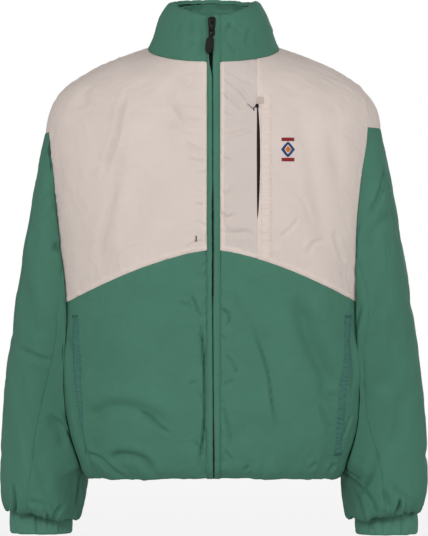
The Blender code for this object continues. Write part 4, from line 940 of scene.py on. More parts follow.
def seam_shape(across, along, seams, seed):
    """What a seam does to the cloth beside it: a groove, a slower dip towards it, puckers square
    to it that fade out, and a step where the allowance pressed to this side ends.
    There is one (pucker, allowance) for each of the grid's edges: first row, last row, first
    column, last column. None leaves an edge alone. Also says where the cloth is doubled."""
    shape, doubled = np.zeros(across.shape), np.zeros(across.shape, bool)
    sides = (
        (across, along), (across[-1:] - across, along),
        (along, across), (along[:, -1:] - along, across),
    )
    for number, ((away, run), seam) in enumerate(zip(sides, seams), seed):
        if seam is None:
            continue
        pucker, allowance = seam
        doubled |= (away < ALLOWANCE) & (allowance > 0)
        groove = np.exp(-((away / GROOVE_WIDTH) ** 2))
        shape -= GROOVE * groove + GROOVE * np.exp(-away / DIP_WIDTH)
        ripples = cloud(run, 0.22 * away, 6.5, number) + 0.5 * cloud(run, 0.3 * away, 3.4, number + 5)
        shape += pucker * np.exp(-away / PUCKER_REACH) * smooth(away / 2) * ripples
        shape += allowance * (1 - smooth((away - PRESSED) / 2.5)) * smooth(away / 2.5)
    return shape, doubled


WALL = 2.5  # outer cloth, thin padding and lining together, in millimetres
INNER_GAP = 0.3  # how far an inner face stays inside its seams
INNER_DIPS = 0.3  # the share of a seam's dips that shows inside
cuts = {}  # each cloth piece's flat cut: width and length in millimetres, and square metres
LAID = {}  # each cloth piece's outer grid and the directions out of it, for what lies on it


def cloth_panel(name, grid, surface, seams, outside, inside=None, wall=WALL, raised=0.0,
                over_allowance=None, gap=0.04):
    """A sewn piece over a grid of surface places. A thin cloth looks paler over its allowances."""
    face, normal = surface(grid[..., 0], grid[..., 1], raised)
    across, along = lengths(face, 0), lengths(face, 1)
    dips, doubled = seam_shape(across, along, seams, sum(map(ord, name)))
    outer = pulled_in(face + normal * dips[..., None], gap)
    inner = pulled_in(face + normal * (INNER_DIPS * dips - wall)[..., None], INNER_GAP)
    cuts[name] = (float(across[-1].mean()), float(along[:, -1].mean()), sheet_area(face))
    LAID[name] = outer, normal
    inside = inside or LINING
    return shell(name, outer, inner, outside, inside, marked=doubled, mark=over_allowance)


def sheet_area(face):
    """Area of a grid of points in square metres, with the finest wrinkles left out."""
    face = face[::4, ::4]
    sides = np.diff(face, axis=0)[:, :-1], np.diff(face, axis=1)[:-1]
    return float(np.linalg.norm(np.cross(*sides), axis=-1).sum() * MM * MM)


# %% [markdown]
# ## Finishes
# The shell cloth is a fine plain weave, so light that it crinkles at the scale of a fingertip.
# One node group gives every cloth its weave and its mottle from the piece's own UV map, and each
# material sets its own thread count and colours. The weave is a product of two sine waves, which
# is how threads pass over and under each other. An image of cloth would show its repeat.

# %% The woven cloth group
THREADS, THREAD_HEIGHT = 2.6, 0.03  # the shell cloth's threads to a millimetre, and their relief


def noise(tree, place, scale, detail=2.0, roughness=0.55):
    """Random hills at a place, which is a socket. The first output runs from 0 to 1."""
    node = add(tree, "ShaderNodeTexNoise", Scale=scale, Detail=detail, Roughness=roughness)
    tree.links.new(place, node.inputs["Vector"])
    return node


def new_group(name, inputs, outputs):
    """An empty group that takes a place and some numbers, and gives others."""
    tree = bpy.data.node_groups.new(name, "ShaderNodeTree")
    tree.interface.new_socket("Place", in_out="INPUT", socket_type="NodeSocketVector")
    for in_out, names in (("INPUT", inputs), ("OUTPUT", outputs)):
        for socket in names:
            tree.interface.new_socket(socket, in_out=in_out, socket_type="NodeSocketFloat")
    return tree, add(tree, "NodeGroupInput").outputs, add(tree, "NodeGroupOutput")


def woven_group():
    """Height: threads and crinkle in millimetres. Mottle: 0 to 1, a slow change of shade."""
    tree, into, out = new_group(
        "woven cloth", ("Threads per mm", "Thread height", "Crinkle"), ("Height", "Mottle")
    )

    def sum_of(operation, *values):
        """A sum of numbers, sockets or nodes. A node stands for its first output."""
        node = add(tree, "ShaderNodeMath", operation=operation)
        for socket, value in zip(node.inputs, values):
            if isinstance(value, (int, float)):
                socket.default_value = value
            else:
                tree.links.new(value.outputs[0] if hasattr(value, "outputs") else value, socket)
        return node

    split = add(tree, "ShaderNodeSeparateXYZ")
    tree.links.new(into["Place"], split.inputs[0])
    waves = []
    for axis in "XY":
        threads = sum_of("MULTIPLY", split.outputs[axis], into["Threads per mm"])
        waves.append(sum_of("SINE", sum_of("MULTIPLY", threads, 2000 * math.pi)))
    weave = sum_of("MULTIPLY", sum_of("MULTIPLY", *waves), into["Thread height"])
    fine = sum_of("ABSOLUTE", sum_of("SUBTRACT", noise(tree, into["Place"], 130), 0.5))
    broad = noise(tree, into["Place"], 62, 1.0)
    crinkle = sum_of("SUBTRACT", broad, sum_of("MULTIPLY", fine, 1.6))
    crinkle = sum_of("MULTIPLY", crinkle, into["Crinkle"])
    slow = sum_of("MULTIPLY", noise(tree, into["Place"], 16, 3), 0.7)
    quick = sum_of("MULTIPLY", noise(tree, into["Place"], 420), 0.3)
    wire(
        tree,
        (sum_of("ADD", weave, crinkle), 0, out, "Height"),
        (sum_of("ADD", slow, quick), 0, out, "Mottle"),
    )
    return tree


WOVEN = woven_group()


# %% Cloths
def srgb(colour):
    """Display values from 0 to 255 as linear light."""
    share = np.array(colour) / 255
    linear = np.where(share < 0.04045, share / 12.92, ((share + 0.055) / 1.055) ** 2.4)
    return (*linear.tolist(), 1.0)


def finish(name, first, second, duller, glossier, **bumps):
    """A material that goes from one colour to another, from duller to glossier as a value goes
    from 0.3 to 0.7, and has a bump. Returns it with the nodes that still wait for an input."""
    material = bpy.data.materials.new(name)
    material.use_nodes = True
    tree = material.node_tree
    shader = tree.nodes["Principled BSDF"]
    shade = add(tree, "ShaderNodeMix", data_type="RGBA", A=first, B=second)
    gloss = add(
        tree, "ShaderNodeMapRange", From_Min=0.3, From_Max=0.7, To_Min=duller, To_Max=glossier
    )
    bump = add(tree, "ShaderNodeBump", **bumps)
    wire(
        tree,
        (shade, "Result", shader, "Base Color"), (gloss, "Result", shader, "Roughness"),
        (bump, "Normal", shader, "Normal"),
    )
    return material, shader.inputs, shade, gloss, bump


def cloth(name, light, dark, threads=THREADS, height=THREAD_HEIGHT, crinkle=0.2, rough=0.7, sheen=0.0):
    """Woven cloth, between two shades by its mottle, and a little glossier where it is lighter."""
    material, look, shade, gloss, bump = finish(
        name, srgb(dark), srgb(light), rough + 0.06, rough - 0.05, Strength=1.0, Distance=MM
    )
    tree = material.node_tree
    place = add(tree, "ShaderNodeUVMap", uv_map="cloth")
    weave = add(tree, "ShaderNodeGroup", node_tree=WOVEN)
    for entry, value in zip(list(weave.inputs)[1:], (threads, height, crinkle)):
        entry.default_value = value
    wire(
        tree,
        (place, "UV", weave, "Place"), (weave, "Height", bump, "Height"),
        (weave, "Mottle", shade, "Factor"), (weave, "Mottle", gloss, "Value"),
    )
    look["Sheen Weight"].default_value = sheen
    look["Sheen Roughness"].default_value = 0.4
    look["Specular IOR Level"].default_value = 0.12
    return material


SATIN = dict(threads=2.4, height=0.09, crinkle=0, rough=0.42, sheen=0.3)
SEWING = dict(threads=5.0, height=0.05, crinkle=0, rough=0.5)
TAPE_WEAVE = dict(threads=1.4, height=0.08, crinkle=0.03, rough=0.7)
PALE = cloth("pale shell cloth", (220, 206, 196), (199, 188, 183))
# painted shade: a darker, cooler copy of the pale cloth, for the panel between the zip and the pocket
PALE_SHADED_BESIDE_ZIP = cloth("pale cloth between zip and pocket", (213, 200, 191), (193, 183, 179))
PALE_DOUBLED = cloth("pale cloth over its allowance", (223, 207, 198), (209, 195, 187))
PALE_SHADED = cloth("pale cloth over the zip's end", (196, 180, 171), (184, 168, 160))
GREEN = cloth("green shell cloth", (76, 125, 106), (66, 112, 94))
GREEN_STRIP = cloth("green strip cloth", (72, 119, 105), (61, 104, 93), crinkle=0.3)
# painted light: a lighter copy of the green cloth, against the shade under the sleeve's puff; the hem band
# takes it too
CUFF_GREEN_PAINTED_LIGHTER = cloth("green gathered cloth", (85, 135, 116), (74, 120, 103), crinkle=0.3)
# painted light: a lighter copy of the green cloth, against the shade inside the collar
FACING_GREEN_PAINTED_LIGHTER = cloth("green facing cloth", (94, 148, 127), (80, 131, 111), crinkle=0.3)
LINING = cloth("green lining", (52, 84, 72), (44, 73, 62), 4.0, 0.015, 0.1, 0.5)
TAPE = cloth("black zip tape", (15, 15, 16), (11, 11, 12), **TAPE_WEAVE)
BROWN_TAPE = cloth("brown pocket tape", (66, 48, 42), (46, 33, 29), **TAPE_WEAVE)
PALE_THREAD = cloth("pale thread", (206, 190, 180), (190, 174, 164), **SEWING)
GREEN_THREAD = cloth("green thread", (60, 102, 92), (48, 86, 80), **SEWING)
BLUE_THREAD = cloth("blue satin thread", (46, 72, 128), (34, 56, 106), **SATIN)
CREAM_THREAD = cloth("cream satin thread", (232, 224, 205), (214, 204, 184), **SATIN)
RED_THREAD = cloth("red satin thread", (150, 44, 42), (126, 34, 34), **SATIN)
ORANGE_THREAD = cloth("orange satin thread", (214, 122, 52), (194, 104, 42), **SATIN)


# %% [markdown]
# ## Blackened metal and moulded plastic
# The slider is die-cast metal with a black finish, lighter in slow patches that stand for wear and
# for a painted highlight. The pull and the teeth are moulded plastic with a faint grain. Both take
# their pattern from the object's own coordinates, because they have no cloth to follow.

# %% Hard finishes
def grain_group():
    """Grain: fine hills from 0 to 1. Rubbing and highlight: from 0 to 0.8 where slow hills stand high, for
    wear and painted highlight.
    """
    tree, into, out = new_group("grain, rubbing and painted highlight", (), ("Grain", "Rubbing and highlight"))
    rubbing_and_highlight = add(tree, "ShaderNodeMapRange", From_Min=0.5, From_Max=0.72, To_Min=0, To_Max=0.8)
    wire(
        tree,
        (noise(tree, into["Place"], 210, 3, 0.7), 0, rubbing_and_highlight, "Value"), (rubbing_and_highlight, "Result", out, "Rubbing and highlight"),
        (noise(tree, into["Place"], 900, 4), 0, out, "Grain"),
    )
    return tree


GRAIN = grain_group()


def hard(name, colour, rough, metallic, grain, rubbed_and_highlit_colour=None):
    """A fine grain in the height and the gloss, and a lighter colour in patches: wear, and on the slider a
    painted highlight.
    """
    colour = srgb(colour)
    rubbed_and_highlit_colour = srgb(rubbed_and_highlit_colour) if rubbed_and_highlit_colour else tuple(1.6 * c for c in colour[:3]) + (1,)
    material, look, shade, gloss, bump = finish(
        name, colour, rubbed_and_highlit_colour, rough - 0.08, rough + 0.08, Strength=grain, Distance=0.1 * MM
    )
    tree = material.node_tree
    place = add(tree, "ShaderNodeTexCoord")
    pattern = add(tree, "ShaderNodeGroup", node_tree=GRAIN)
    wire(
        tree,
        (place, "Object", pattern, "Place"), (pattern, "Rubbing and highlight", shade, "Factor"),
        (pattern, "Grain", gloss, "Value"), (pattern, "Grain", bump, "Height"),
    )
    look["Metallic"].default_value = metallic
    look["Specular IOR Level"].default_value = 0.22
    return material


# The slider's lighter patches are wear and a painted highlight.
METAL = hard("blackened metal", (10, 10, 11), 0.4, 0.2, 0.25, (44, 43, 42))
PLASTIC = hard("black moulded plastic", (8, 8, 8), 0.6, 0.0, 0.5)
TEETH = hard("black moulded teeth", (13, 13, 14), 0.42, 0.0, 0.3)
print("materials:", len(bpy.data.materials))


# %% [markdown]
# ## The sewn panels
# The fronts, the backs and the sleeves are cut as flat shapes and sewn edge to edge. Every panel
# is found in the same way: its four edges are drawn on the body, and a grid is stretched between
# them. Edges on the wearer's right are the left ones, mirrored by turning the angle round.

# %% Edges of the body's panels
FRONT_STEP, BACK_STEP, SLEEVE_STEP = 2.08, 4.2, 3.05  # the grids' spacing, in millimetres
DENSE = 90  # points on an edge before it is cut into even steps


def edge(*columns):
    """Rows of places on a surface from their two columns."""
    return np.stack(np.broadcast_arrays(*columns), axis=-1).astype(float)


def turned(side, rows, front=True):
    """The same places on the wearer's right, where angles run the other way."""
    if side == "left":
        return rows
    rows = rows.copy()
    rows[..., 0] = (math.pi if front else -math.pi) - rows[..., 0]
    return rows


def upright(x):
    """A line that stands at one distance from the centre, from the colour seam to the collar."""
    low = YOKE_CENTRE_Z
    for _ in range(4):
        low = yoke_level("left", 1, angle_at(x, low))
    levels = np.linspace(low, NECK_LEVEL, DENSE)
    return edge(angle_at(x, levels), levels)


def armhole_edge(side, face, low, high):
    """The armhole between two turns from the underarm, with its angles counted as on the left."""
    rows = armhole(side, math.pi - face * np.linspace(low, high, DENSE))
    if side == "right":
        rows[:, 0] = math.pi - rows[:, 0]
    return rows


def colour_seam(side, face, angles):
    """Places on the colour seam, with their angles counted as on the left."""
    return edge(angles, yoke_level(side, face, math.pi - angles if side == "right" else angles))


def yoke_bottom(side, face, first_angle):
    """The colour seam from an angle out to the armhole."""
    last = armhole_edge(side, face, YOKE_TURN, YOKE_TURN)[0, 0]
    angles = np.linspace(first_angle, last, DENSE)
    return colour_seam(side, face, angles)


def yoke_top(side, first_angle):
    """The collar seam from an angle to the shoulder, then the shoulder seam to its tip."""
    neck = edge(np.linspace(first_angle, 0, DENSE), NECK_LEVEL)
    return np.concatenate([neck, edge(0.0, np.linspace(NECK_LEVEL, SHOULDER_TIP[side], DENSE)[1:])])


OUTER_LIP, INNER_LIP = 1.55, 0.3  # the shares of the mouth's half width to its two sides


def pocket_mouth(seam, direction):
    """The chest pocket's seam, parted by a few millimetres where its mouth is."""
    top, bottom = CHEST_SLIT
    share = np.clip((seam[:, 1] - bottom) / (top - bottom), 0, 1)
    bulge = CHEST_SLIT_HALF * (OUTER_LIP if direction > 0 else INNER_LIP)
    x = CHEST_SEAM_X + direction * bulge * np.sin(math.pi * share) ** 0.5
    return edge(angle_at(x, seam[:, 1]), seam[:, 1])


def side_edge(side, face):
    """The side seam from the hem to the underarm, then the armhole up to the colour seam."""
    seam = edge(0.0, np.linspace(HEM_LEVEL, UNDERARM_LEVEL, DENSE))
    return np.concatenate([seam, armhole_edge(side, face, 0, YOKE_TURN)[1:]])


# %% The fronts
pieces = {}
centre, pocket = upright(BAND_EDGE_X), upright(CHEST_SEAM_X)
inner_angles = np.linspace(centre[0, 0], pocket[0, 0], DENSE)
inner_bottom = colour_seam("left", 1, inner_angles)
inner_top = edge(np.linspace(centre[-1, 0], pocket[-1, 0], DENSE), NECK_LEVEL)
outer_bottom = yoke_bottom("left", 1, pocket[0, 0])
right_bottom = yoke_bottom("right", 1, centre[0, 0])
right_hole, left_hole = (armhole_edge(side, 1, YOKE_TURN, math.pi) for side in SIDES)

for name, edges, seams, outside in (
    (
        "front_yoke_right",
        (right_bottom, yoke_top("right", centre[-1, 0]), centre, right_hole),
        ((1.7, 0.5), (1.1, 0), (0.8, 0.8), (1.0, 0)), PALE,
    ), (
        "front_yoke_left_inner",
        (inner_bottom, inner_top, centre, pocket_mouth(pocket, -1)),
        ((1.7, 0.5), (0.5, 0), (0.8, 0.8), (1.0, 0)), PALE_SHADED_BESIDE_ZIP,
    ), (
        "front_yoke_left_outer",
        (outer_bottom, yoke_top("left", pocket[-1, 0]), pocket_mouth(pocket, 1), left_hole),
        ((0.5, 0.3), (1.1, 0), (0.7, 0.8), (0.8, 0)), PALE,
    ),
):
    grid = turned(name.split("_")[2], patch(*edges, FRONT_STEP, body_cloth))
    pieces[name] = cloth_panel(
        f"{name}_cloth", grid, body_cloth, seams, outside, over_allowance=PALE_DOUBLED
    )
for side, top in (("right", right_bottom), ("left", np.concatenate([inner_bottom, outer_bottom[1:]]))):
    levels = np.linspace(HEM_LEVEL, YOKE_CENTRE_Z, 2 * DENSE)
    zip_side = edge(angle_at(BAND_EDGE_X, levels), levels)
    bottom = edge(np.linspace(zip_side[0, 0], 0, DENSE), HEM_LEVEL)
    grid = patch(bottom, top, zip_side, side_edge(side, 1), FRONT_STEP, body_cloth)
    pieces[f"front_lower_{side}"] = cloth_panel(
        f"front_lower_{side}_cloth", turned(side, grid), body_cloth,
        ((1.2, 0), (0.7, 0), None, (0.8, 0)), GREEN,
    )
print("fronts:", {name: triangles[p.name] for name, p in pieces.items()})


# %% The backs
def round_the_back(edges):
    """One edge from the right side round the back to the left, from its two halves."""
    right = turned("right", edges["right"], front=False)[::-1]
    return np.concatenate([right, edges["left"][1:]])


behind = -math.pi / 2
seam_behind = round_the_back({side: yoke_bottom(side, -1, behind) for side in SIDES})
neck_and_shoulders = round_the_back({side: yoke_top(side, behind) for side in SIDES})
hem = edge(np.linspace(-math.pi, 0, 2 * DENSE), HEM_LEVEL)
back_holes = {side: armhole_edge(side, -1, YOKE_TURN, math.pi) for side in SIDES}
back_sides = {side: side_edge(side, -1) for side in SIDES}
for name, low, high, ends, end_seam, outside in (
    ("back_yoke", seam_behind, neck_and_shoulders, back_holes, (0.6, 0.5), PALE),
    ("back_lower", hem, seam_behind, back_sides, None, GREEN),
):
    right_end = turned("right", ends["right"], front=False)
    grid = patch(low, high, right_end, ends["left"], BACK_STEP, body_cloth)
    seams = ((1.0, 0), (1.0, 0), end_seam, (0.6, 0))
    pieces[name] = cloth_panel(f"{name}_cloth", grid, body_cloth, seams, outside)
print("backs:", triangles["back_yoke_cloth"] + triangles["back_lower_cloth"], "triangles")


# %% [markdown]
# ## Sleeves, caps and cuffs
# Each sleeve is three pieces: a pale cap over the shoulder, an outer sleeve, and an under sleeve
# between two long seams. The sleeve is wider than its cuff, so the cloth gathers into the cuff
# seam and rolls over it. The cuff itself is a casing drawn up on elastic.

# %% Sleeves
def cap_station(side, turn):
    """The station at which the cap ends, where the sleeve has come down to one height."""
    low, high = np.zeros_like(turn), np.full_like(turn, 4.0)
    for _ in range(24):
        middle = (low + high) / 2
        above = sleeve_skin(side, turn, middle)[..., 2] > CAP_LOWER_Z[side]
        low, high = np.where(above, middle, low), np.where(above, high, middle)
    return np.where(np.abs(turn) < CAP_END + 1e-6, np.maximum(low, 0.06), 0.0)


def sleeve_grid(side, first, last, count):
    """A grid between two turns, from the cap or the armhole down to the cuff. Its rows lie
    evenly on the cloth along the middle line."""
    turns = np.linspace(first, last, count)
    top = cap_station(side, turns)
    share, middle = np.linspace(0, 1, 160), count // 2
    line = sleeve_skin(side, turns[middle], top[middle] + (LAST - top[middle]) * share)
    travelled = lengths(line, 0)
    even_steps = np.linspace(0, travelled[-1], round(travelled[-1] / SLEEVE_STEP))
    shares = np.interp(even_steps, travelled, share)
    return edge(turns[:, None], top[:, None] + (LAST - top[:, None]) * shares)


def cap_grid(side):
    """A grid from the shoulder seam down to the cap's lower edge."""
    turns = np.linspace(-CAP_END, CAP_END, 71)[:, None]
    return edge(turns, cap_station(side, turns) * np.linspace(0, 1, 17))


for side in SIDES:
    def surface(turn, station, out=0.0, side=side):
        return sleeve_cloth(side, turn, station, out)

    outer_grid = sleeve_grid(side, -SLEEVE_SEAM, SLEEVE_SEAM, 129)
    under_grid = sleeve_grid(side, SLEEVE_SEAM, 2 * math.pi - SLEEVE_SEAM, 75)
    for part, grid, seams, outside, gap in (
        ("outer", outer_grid, ((1.1, 0), (1.1, 0), (0.9, 0), (0.5, 0)), GREEN, 0.14),
        ("under", under_grid, ((1.1, 0), (1.1, 0), (0.6, 0), (0.5, 0)), GREEN, 0.14),
        ("cap", cap_grid(side), ((0.3, 0), (0.3, 0), (0.4, 0), (0.6, 0)), PALE, 0.04),
    ):
        name = f"sleeve_{part}_{side}"
        pieces[name] = cloth_panel(f"{name}_cloth", grid, surface, seams, outside, gap=gap)
print("sleeves:", sum(v for k, v in triangles.items() if k.startswith("sleeve")), "triangles")

# %% Cuffs
CUFF_DEPTH, ROUND_CUFF = 34.0, 48.0  # from seam to edge, and for each radian of turn
PLEAT_WIDTH = 1.6  # in degrees
# Sharp folds across the casing's front: their turns at the top and at the bottom, and their depth.
CUFF_PLEATS = {
    "right": ((84, 84, 2.0), (28, 30, 1.6), (117, 130, 1.3), (133, 126, 1.4), (146, 138, 1.0)),
    "left": ((52, 58, 1.0), (66, 64, 1.9), (79, 88, 1.2), (105, 98, 1.0), (124, 128, 1.3), (36, 38, 0.9)),
}
CUFF_GROWTH = np.array([(0.0, -1.2), (0.06, 0.2), (0.3, 1.3), (0.8, 1.5), (0.94, 1.0), (1.0, -0.4)])


def cuff_cloth(side, turn, drop, out):
    """The last sleeve section let down by a share of the cuff's depth, a little fuller than its
    seam, with uneven gathers that run down it."""
    outer_x, outer_z, inner_x, inner_z, _, middle_y, half_depth, roundness = SLEEVE_STATIONS[-1]
    round_it = turn * ROUND_CUFF
    close = cloud(round_it, 9 * drop, 4.6, 120 + SIDES[side])
    close = close + 0.6 * cloud(round_it, 9 * drop, 9, 121)
    ripples = 1.1 * close * (0.55 + 0.45 * np.sin(math.pi * np.clip(drop, 0, 1)))
    for at_top, at_bottom, depth in CUFF_PLEATS[side]:
        away = np.degrees(turn) - (at_top + (at_bottom - at_top) * drop)
        ripples = ripples - depth * np.exp(-((away / PLEAT_WIDTH) ** 2))
    growth = through(CUFF_GROWTH[:, 0], CUFF_GROWTH[:, 1], drop) + ripples + out
    across, forward = squarish(turn, roundness)
    seam_z = (outer_z + inner_z) / 2 + (outer_z - inner_z) / 2 * across
    bottom_z = inner_z - CUFF_DEPTH + 2.0 + 0.5 * cloud(round_it, 0 * turn, 11, 122)
    x = SIDES[side] * ((outer_x + inner_x) / 2 + ((outer_x - inner_x) / 2 + growth) * across)
    y = middle_y - SLEEVE_FORWARD[side] - (half_depth + growth) * forward
    return np.stack([x, y, seam_z + (bottom_z - seam_z) * drop], axis=-1)


for side in SIDES:
    turn, drop = np.meshgrid(np.linspace(0, 2 * np.pi, 241), np.linspace(0.02, 1, 21), indexing="ij")
    name = f"cuff_{side}_cloth"
    outer_face, inner_face = (cuff_cloth(side, turn, drop, out) for out in (0.0, -WALL))
    # The casing is drawn in a green painted lighter than the sleeve's, against the shade under the puff.
    pieces[f"cuff_{side}"] = shell(name, outer_face, inner_face, CUFF_GREEN_PAINTED_LIGHTER, LINING, wrap=True)
    cuts[name] = (float(lengths(outer_face, 0)[-1].mean()), CUFF_DEPTH, sheet_area(outer_face))
print("cuffs:", triangles["cuff_left_cloth"], "triangles each")

# %% [markdown]
# ## Collar and hem
# The collar is a padded outer layer that rolls over its own top edge, and a facing inside the
# neck, drawn in a green painted lighter. The hem is the lower panels' own cloth, turned up inside,
# with an elastic band in it; the band is drawn in the cuffs' green, painted lighter.

# %% Collar
FACING_BACK = 3.4  # how far the facing lies inside the collar's outer face


def collar_grid(levels):
    """The collar's places from zip to zip, at these levels."""
    first = angle_at(BAND_EDGE_X, levels, COLLAR_RINGS)
    return edge(first + np.linspace(0, 1, 221)[:, None] * (-math.pi - 2 * first), levels)


def facing_cloth(angle, level, out=0.0):
    """Plain inside the neck, apart from small gathers under the roll."""
    flat = ring_point(COLLAR_RINGS, angle, level)
    normal = ring_normal(COLLAR_RINGS, angle, level, COLLAR_STEP)
    round_it = np.asarray(angle) * 80
    gathers = np.abs(cloud(round_it + 24 * level, 40 * level, 9, 97))
    relief = -2.2 * gathers * smooth((level - 0.3) / 0.4)
    relief = relief - 0.9 * np.abs(crumple(round_it, level * 60, 98))
    return flat + normal * (relief + out)[..., None], normal


levels = np.linspace(0, 1, 38)
pieces["collar"] = cloth_panel(
    "collar_cloth", collar_grid(levels), collar_cloth, ((0.3, 0), (0.3, 0), (0.5, 0), None),
    GREEN, GREEN, wall=3.0 + 2.8 * smooth((levels - 0.92) / 0.06),
)
levels = np.linspace(0.02, 0.91, 40)
# The facing is drawn in a green painted lighter than the collar's, against the shade inside the neck.
pieces["collar_facing"] = cloth_panel(
    "collar_facing_cloth", collar_grid(levels)[::2], facing_cloth, (None,) * 4,
    FACING_GREEN_PAINTED_LIGHTER, FACING_GREEN_PAINTED_LIGHTER, wall=2.0, raised=-FACING_BACK - 2.0 * smooth((levels - 0.75) / 0.14),
)
print("collar:", triangles["collar_cloth"], "triangles")

# %% Hem band
BAND_HEIGHT, BAND_INSIDE = 28.0, 0.4  # its height, and how far it lies inside the hem's ring


def band_points(out):
    """The turned-up edge's ring, raised by up to its height, with the elastic's small gathers."""
    first = float(angle_at(BAND_EDGE_X, HEM_LEVEL))
    angle = np.linspace(first, -math.pi - first, 301)[:, None]
    rise = np.linspace(0.3, BAND_HEIGHT, 9)[None]
    angle, rise = np.broadcast_arrays(angle, rise)
    point = ring_point(BODY_RINGS, angle, HEM_LEVEL + 0 * rise)
    away = np.stack([np.cos(angle), -np.sin(angle)], axis=-1)
    gathers = 0.6 * cloud(angle * 140, 0.2 * rise, 7, 140) * np.sin(math.pi * rise / 28.3) ** 0.5
    point[..., :2] += away * (gathers + out)[..., None]
    point[..., 2] += rise
    return point


face = band_points(-BAND_INSIDE)
# The band is drawn in the cuffs' green, painted lighter than the panels' own.
pieces["hem_band"] = shell("hem_band_cloth", face, band_points(-BAND_INSIDE - WALL), CUFF_GREEN_PAINTED_LIGHTER, LINING)
cuts["hem_band_cloth"] = (float(lengths(face, 0)[-1].mean()), BAND_HEIGHT, sheet_area(face))
print("hem band:", round(cuts["hem_band_cloth"][0]), "mm round")

# %% [markdown]
# ## The zip
# Both front edges are folded over and stitched beside the teeth. Between the folds lie two black
# tapes with a row of moulded teeth on each, which mesh from alternate sides. The gap between the
# folds opens and closes down the front, as it does on a worn jacket.

# %% The line up the front
LINE_SPACING = 2.0
COLLAR_RUN = 68.0  # millimetres up the collar's front


def front_line(x, spacing=LINE_SPACING):
    """(points, normals) up the front at distances x from the centre: the body, then the collar.
    There are no folds here, because the zip holds the cloth flat."""
    body_levels = np.arange(HEM_LEVEL + 11, NECK_LEVEL, spacing)
    collar_levels = np.arange(0.03, 0.935, spacing / COLLAR_RUN)
    count = len(body_levels)
    x = np.broadcast_to(x, count + len(collar_levels))
    rows = []
    for rings, levels, step, part in (
        (BODY_RINGS, body_levels, 1.0, x[:count]),
        (COLLAR_RINGS, collar_levels, COLLAR_STEP, x[count:]),
    ):
        angle = angle_at(part, levels, rings)
        normal = ring_normal(rings, angle, levels, step)
        rows.append(np.stack([ring_point(rings, angle, levels), normal]))
    return np.concatenate(rows, axis=1)


# %% The folds beside the teeth
# By height: half the gap between the two folds, and how far its middle is from the centre.
HALF_GAP = (
    (-640, 1.0), (-565, 0.95), (-530, 0.6), (-375, 0.45), (-350, 1.15), (-225, 1.2),
    (-200, 0.35), (-46, 0.35), (-38, 0.9), (-26, 2.2), (-18, 2.7),
)
GAP_X = (
    (-600, 0.3), (-375, -1.2), (-300, -0.9), (-200, -1.0),
    (-46, -1.4), (-38, -2.1), (-26, -3.3), (-18, -3.8),
)
FOLD_SHARE, STITCH_SHARE = 0.2, 0.84  # the shares of the band that its fold takes, and its stitches
LAID_FLAT = 14.0  # over this the band's end lies flat on the turned-up hem


def folded_edge(side):
    """(outer, inner, normal) grids of the folded strip beside the teeth, from its fold outwards.
    The fold's section is a quarter of a circle, and the stitches draw the band down."""
    sign = SIDES[side]
    middle = front_line(0.0)[0, :, 2]
    half_gap, gap_x = (np.interp(middle, *zip(*table)) for table in (HALF_GAP, GAP_X))
    nibbled = 0.35 * cloud(middle, 0 * middle, 2.4, 170 + sign) * smooth((half_gap - 0.5) / 0.5)
    start = half_gap + 0.15 * cloud(middle, 0 * middle, 9, 160 + sign) + nibbled + sign * gap_x
    outer, inner, normals = [], [], []
    for share in (0, 0.02, 0.06, 0.13, 0.24, 0.4, 0.58, 0.74, 0.82, 0.88, 0.94, 1.0):
        x = start + (BAND_EDGE_X + 0.7 - start) * share
        points, normal = front_line(sign * x)
        fold = math.sqrt(1 - (1 - min(share / FOLD_SHARE, 1)) ** 2)
        stitch = math.exp(-(((share - STITCH_SHARE) / 0.07) ** 2))
        ripple = 0.3 * cloud(middle, 6 * share + 0 * middle, 5, 164 + sign)
        thin = smooth((share - 0.9) / 0.1)
        out = -1.1 + 2.5 * fold + ripple - 0.7 * stitch - 0.6 * thin
        out = out * smooth((middle - middle[0]) / LAID_FLAT)
        outer.append(points + normal * (out + 0.2 * thin)[:, None])
        inner.append(points - normal * (1.9 - 2.0 * smooth((share - 0.7) / 0.15)))
        normals.append(normal)
    return np.stack(outer), np.stack(inner), np.stack(normals)


for side in SIDES:
    name = f"zip_band_{side}_cloth"
    outer_face, inner_face, normals = folded_edge(side)
    pieces[f"zip_band_{side}"] = shell(name, outer_face, inner_face, GREEN, GREEN)
    LAID[name] = outer_face, normals
    run = float(lengths(outer_face, 1)[:, -1].mean())
    # The strip is cut twice as wide as it shows, because half of it is folded under.
    showing = float(lengths(outer_face, 0)[-1].mean())
    cuts[name] = (2 * showing, run, showing * run * MM * MM)
print("zip bands:", round(run), "mm long")

# %% Tapes
def tape_face(out):
    """The two tapes' surface, so far out from the front line."""
    lines = [front_line(x, 2 * LINE_SPACING) for x in np.linspace(-5.5, 5.5, 9)]
    return np.stack([points + normals * out for points, normals in lines])


pieces["zip_chain"] = shell("zip_tape", tape_face(-2.2), tape_face(-3.4), TAPE, TAPE)
print("tapes:", triangles["zip_tape"], "triangles")

# %% Teeth
TOOTH_PITCH = 1.35  # from one tooth to the next on the other tape


def plain_piece(name, points, faces, uv, material):
    """A mesh of one material whose points carry their own UVs."""
    return mesh_piece(name, points, faces, uv[faces], np.zeros(len(faces), int), (material,))


def copies(name, shape, faces, places, frames, material):
    """One small shape at many places: each copy's points are the shape's, turned into the
    place's own frame, whose rows are its three directions."""
    points = places[:, None] + np.einsum("pk,nkj->npj", shape, frames)
    numbers = np.arange(len(places))[:, None, None] * len(shape) + faces
    uv = np.tile(shape[:, :2], (len(places), 1))
    return plain_piece(name, points.reshape(-1, 3), numbers.reshape(-1, 4), uv, material)


def ring_numbers(count, sides):
    """Point numbers of rings of points, each with its first point again at its end."""
    grid = np.arange(count * sides).reshape(count, sides)
    return np.concatenate([grid, grid[:, :1]], axis=1)


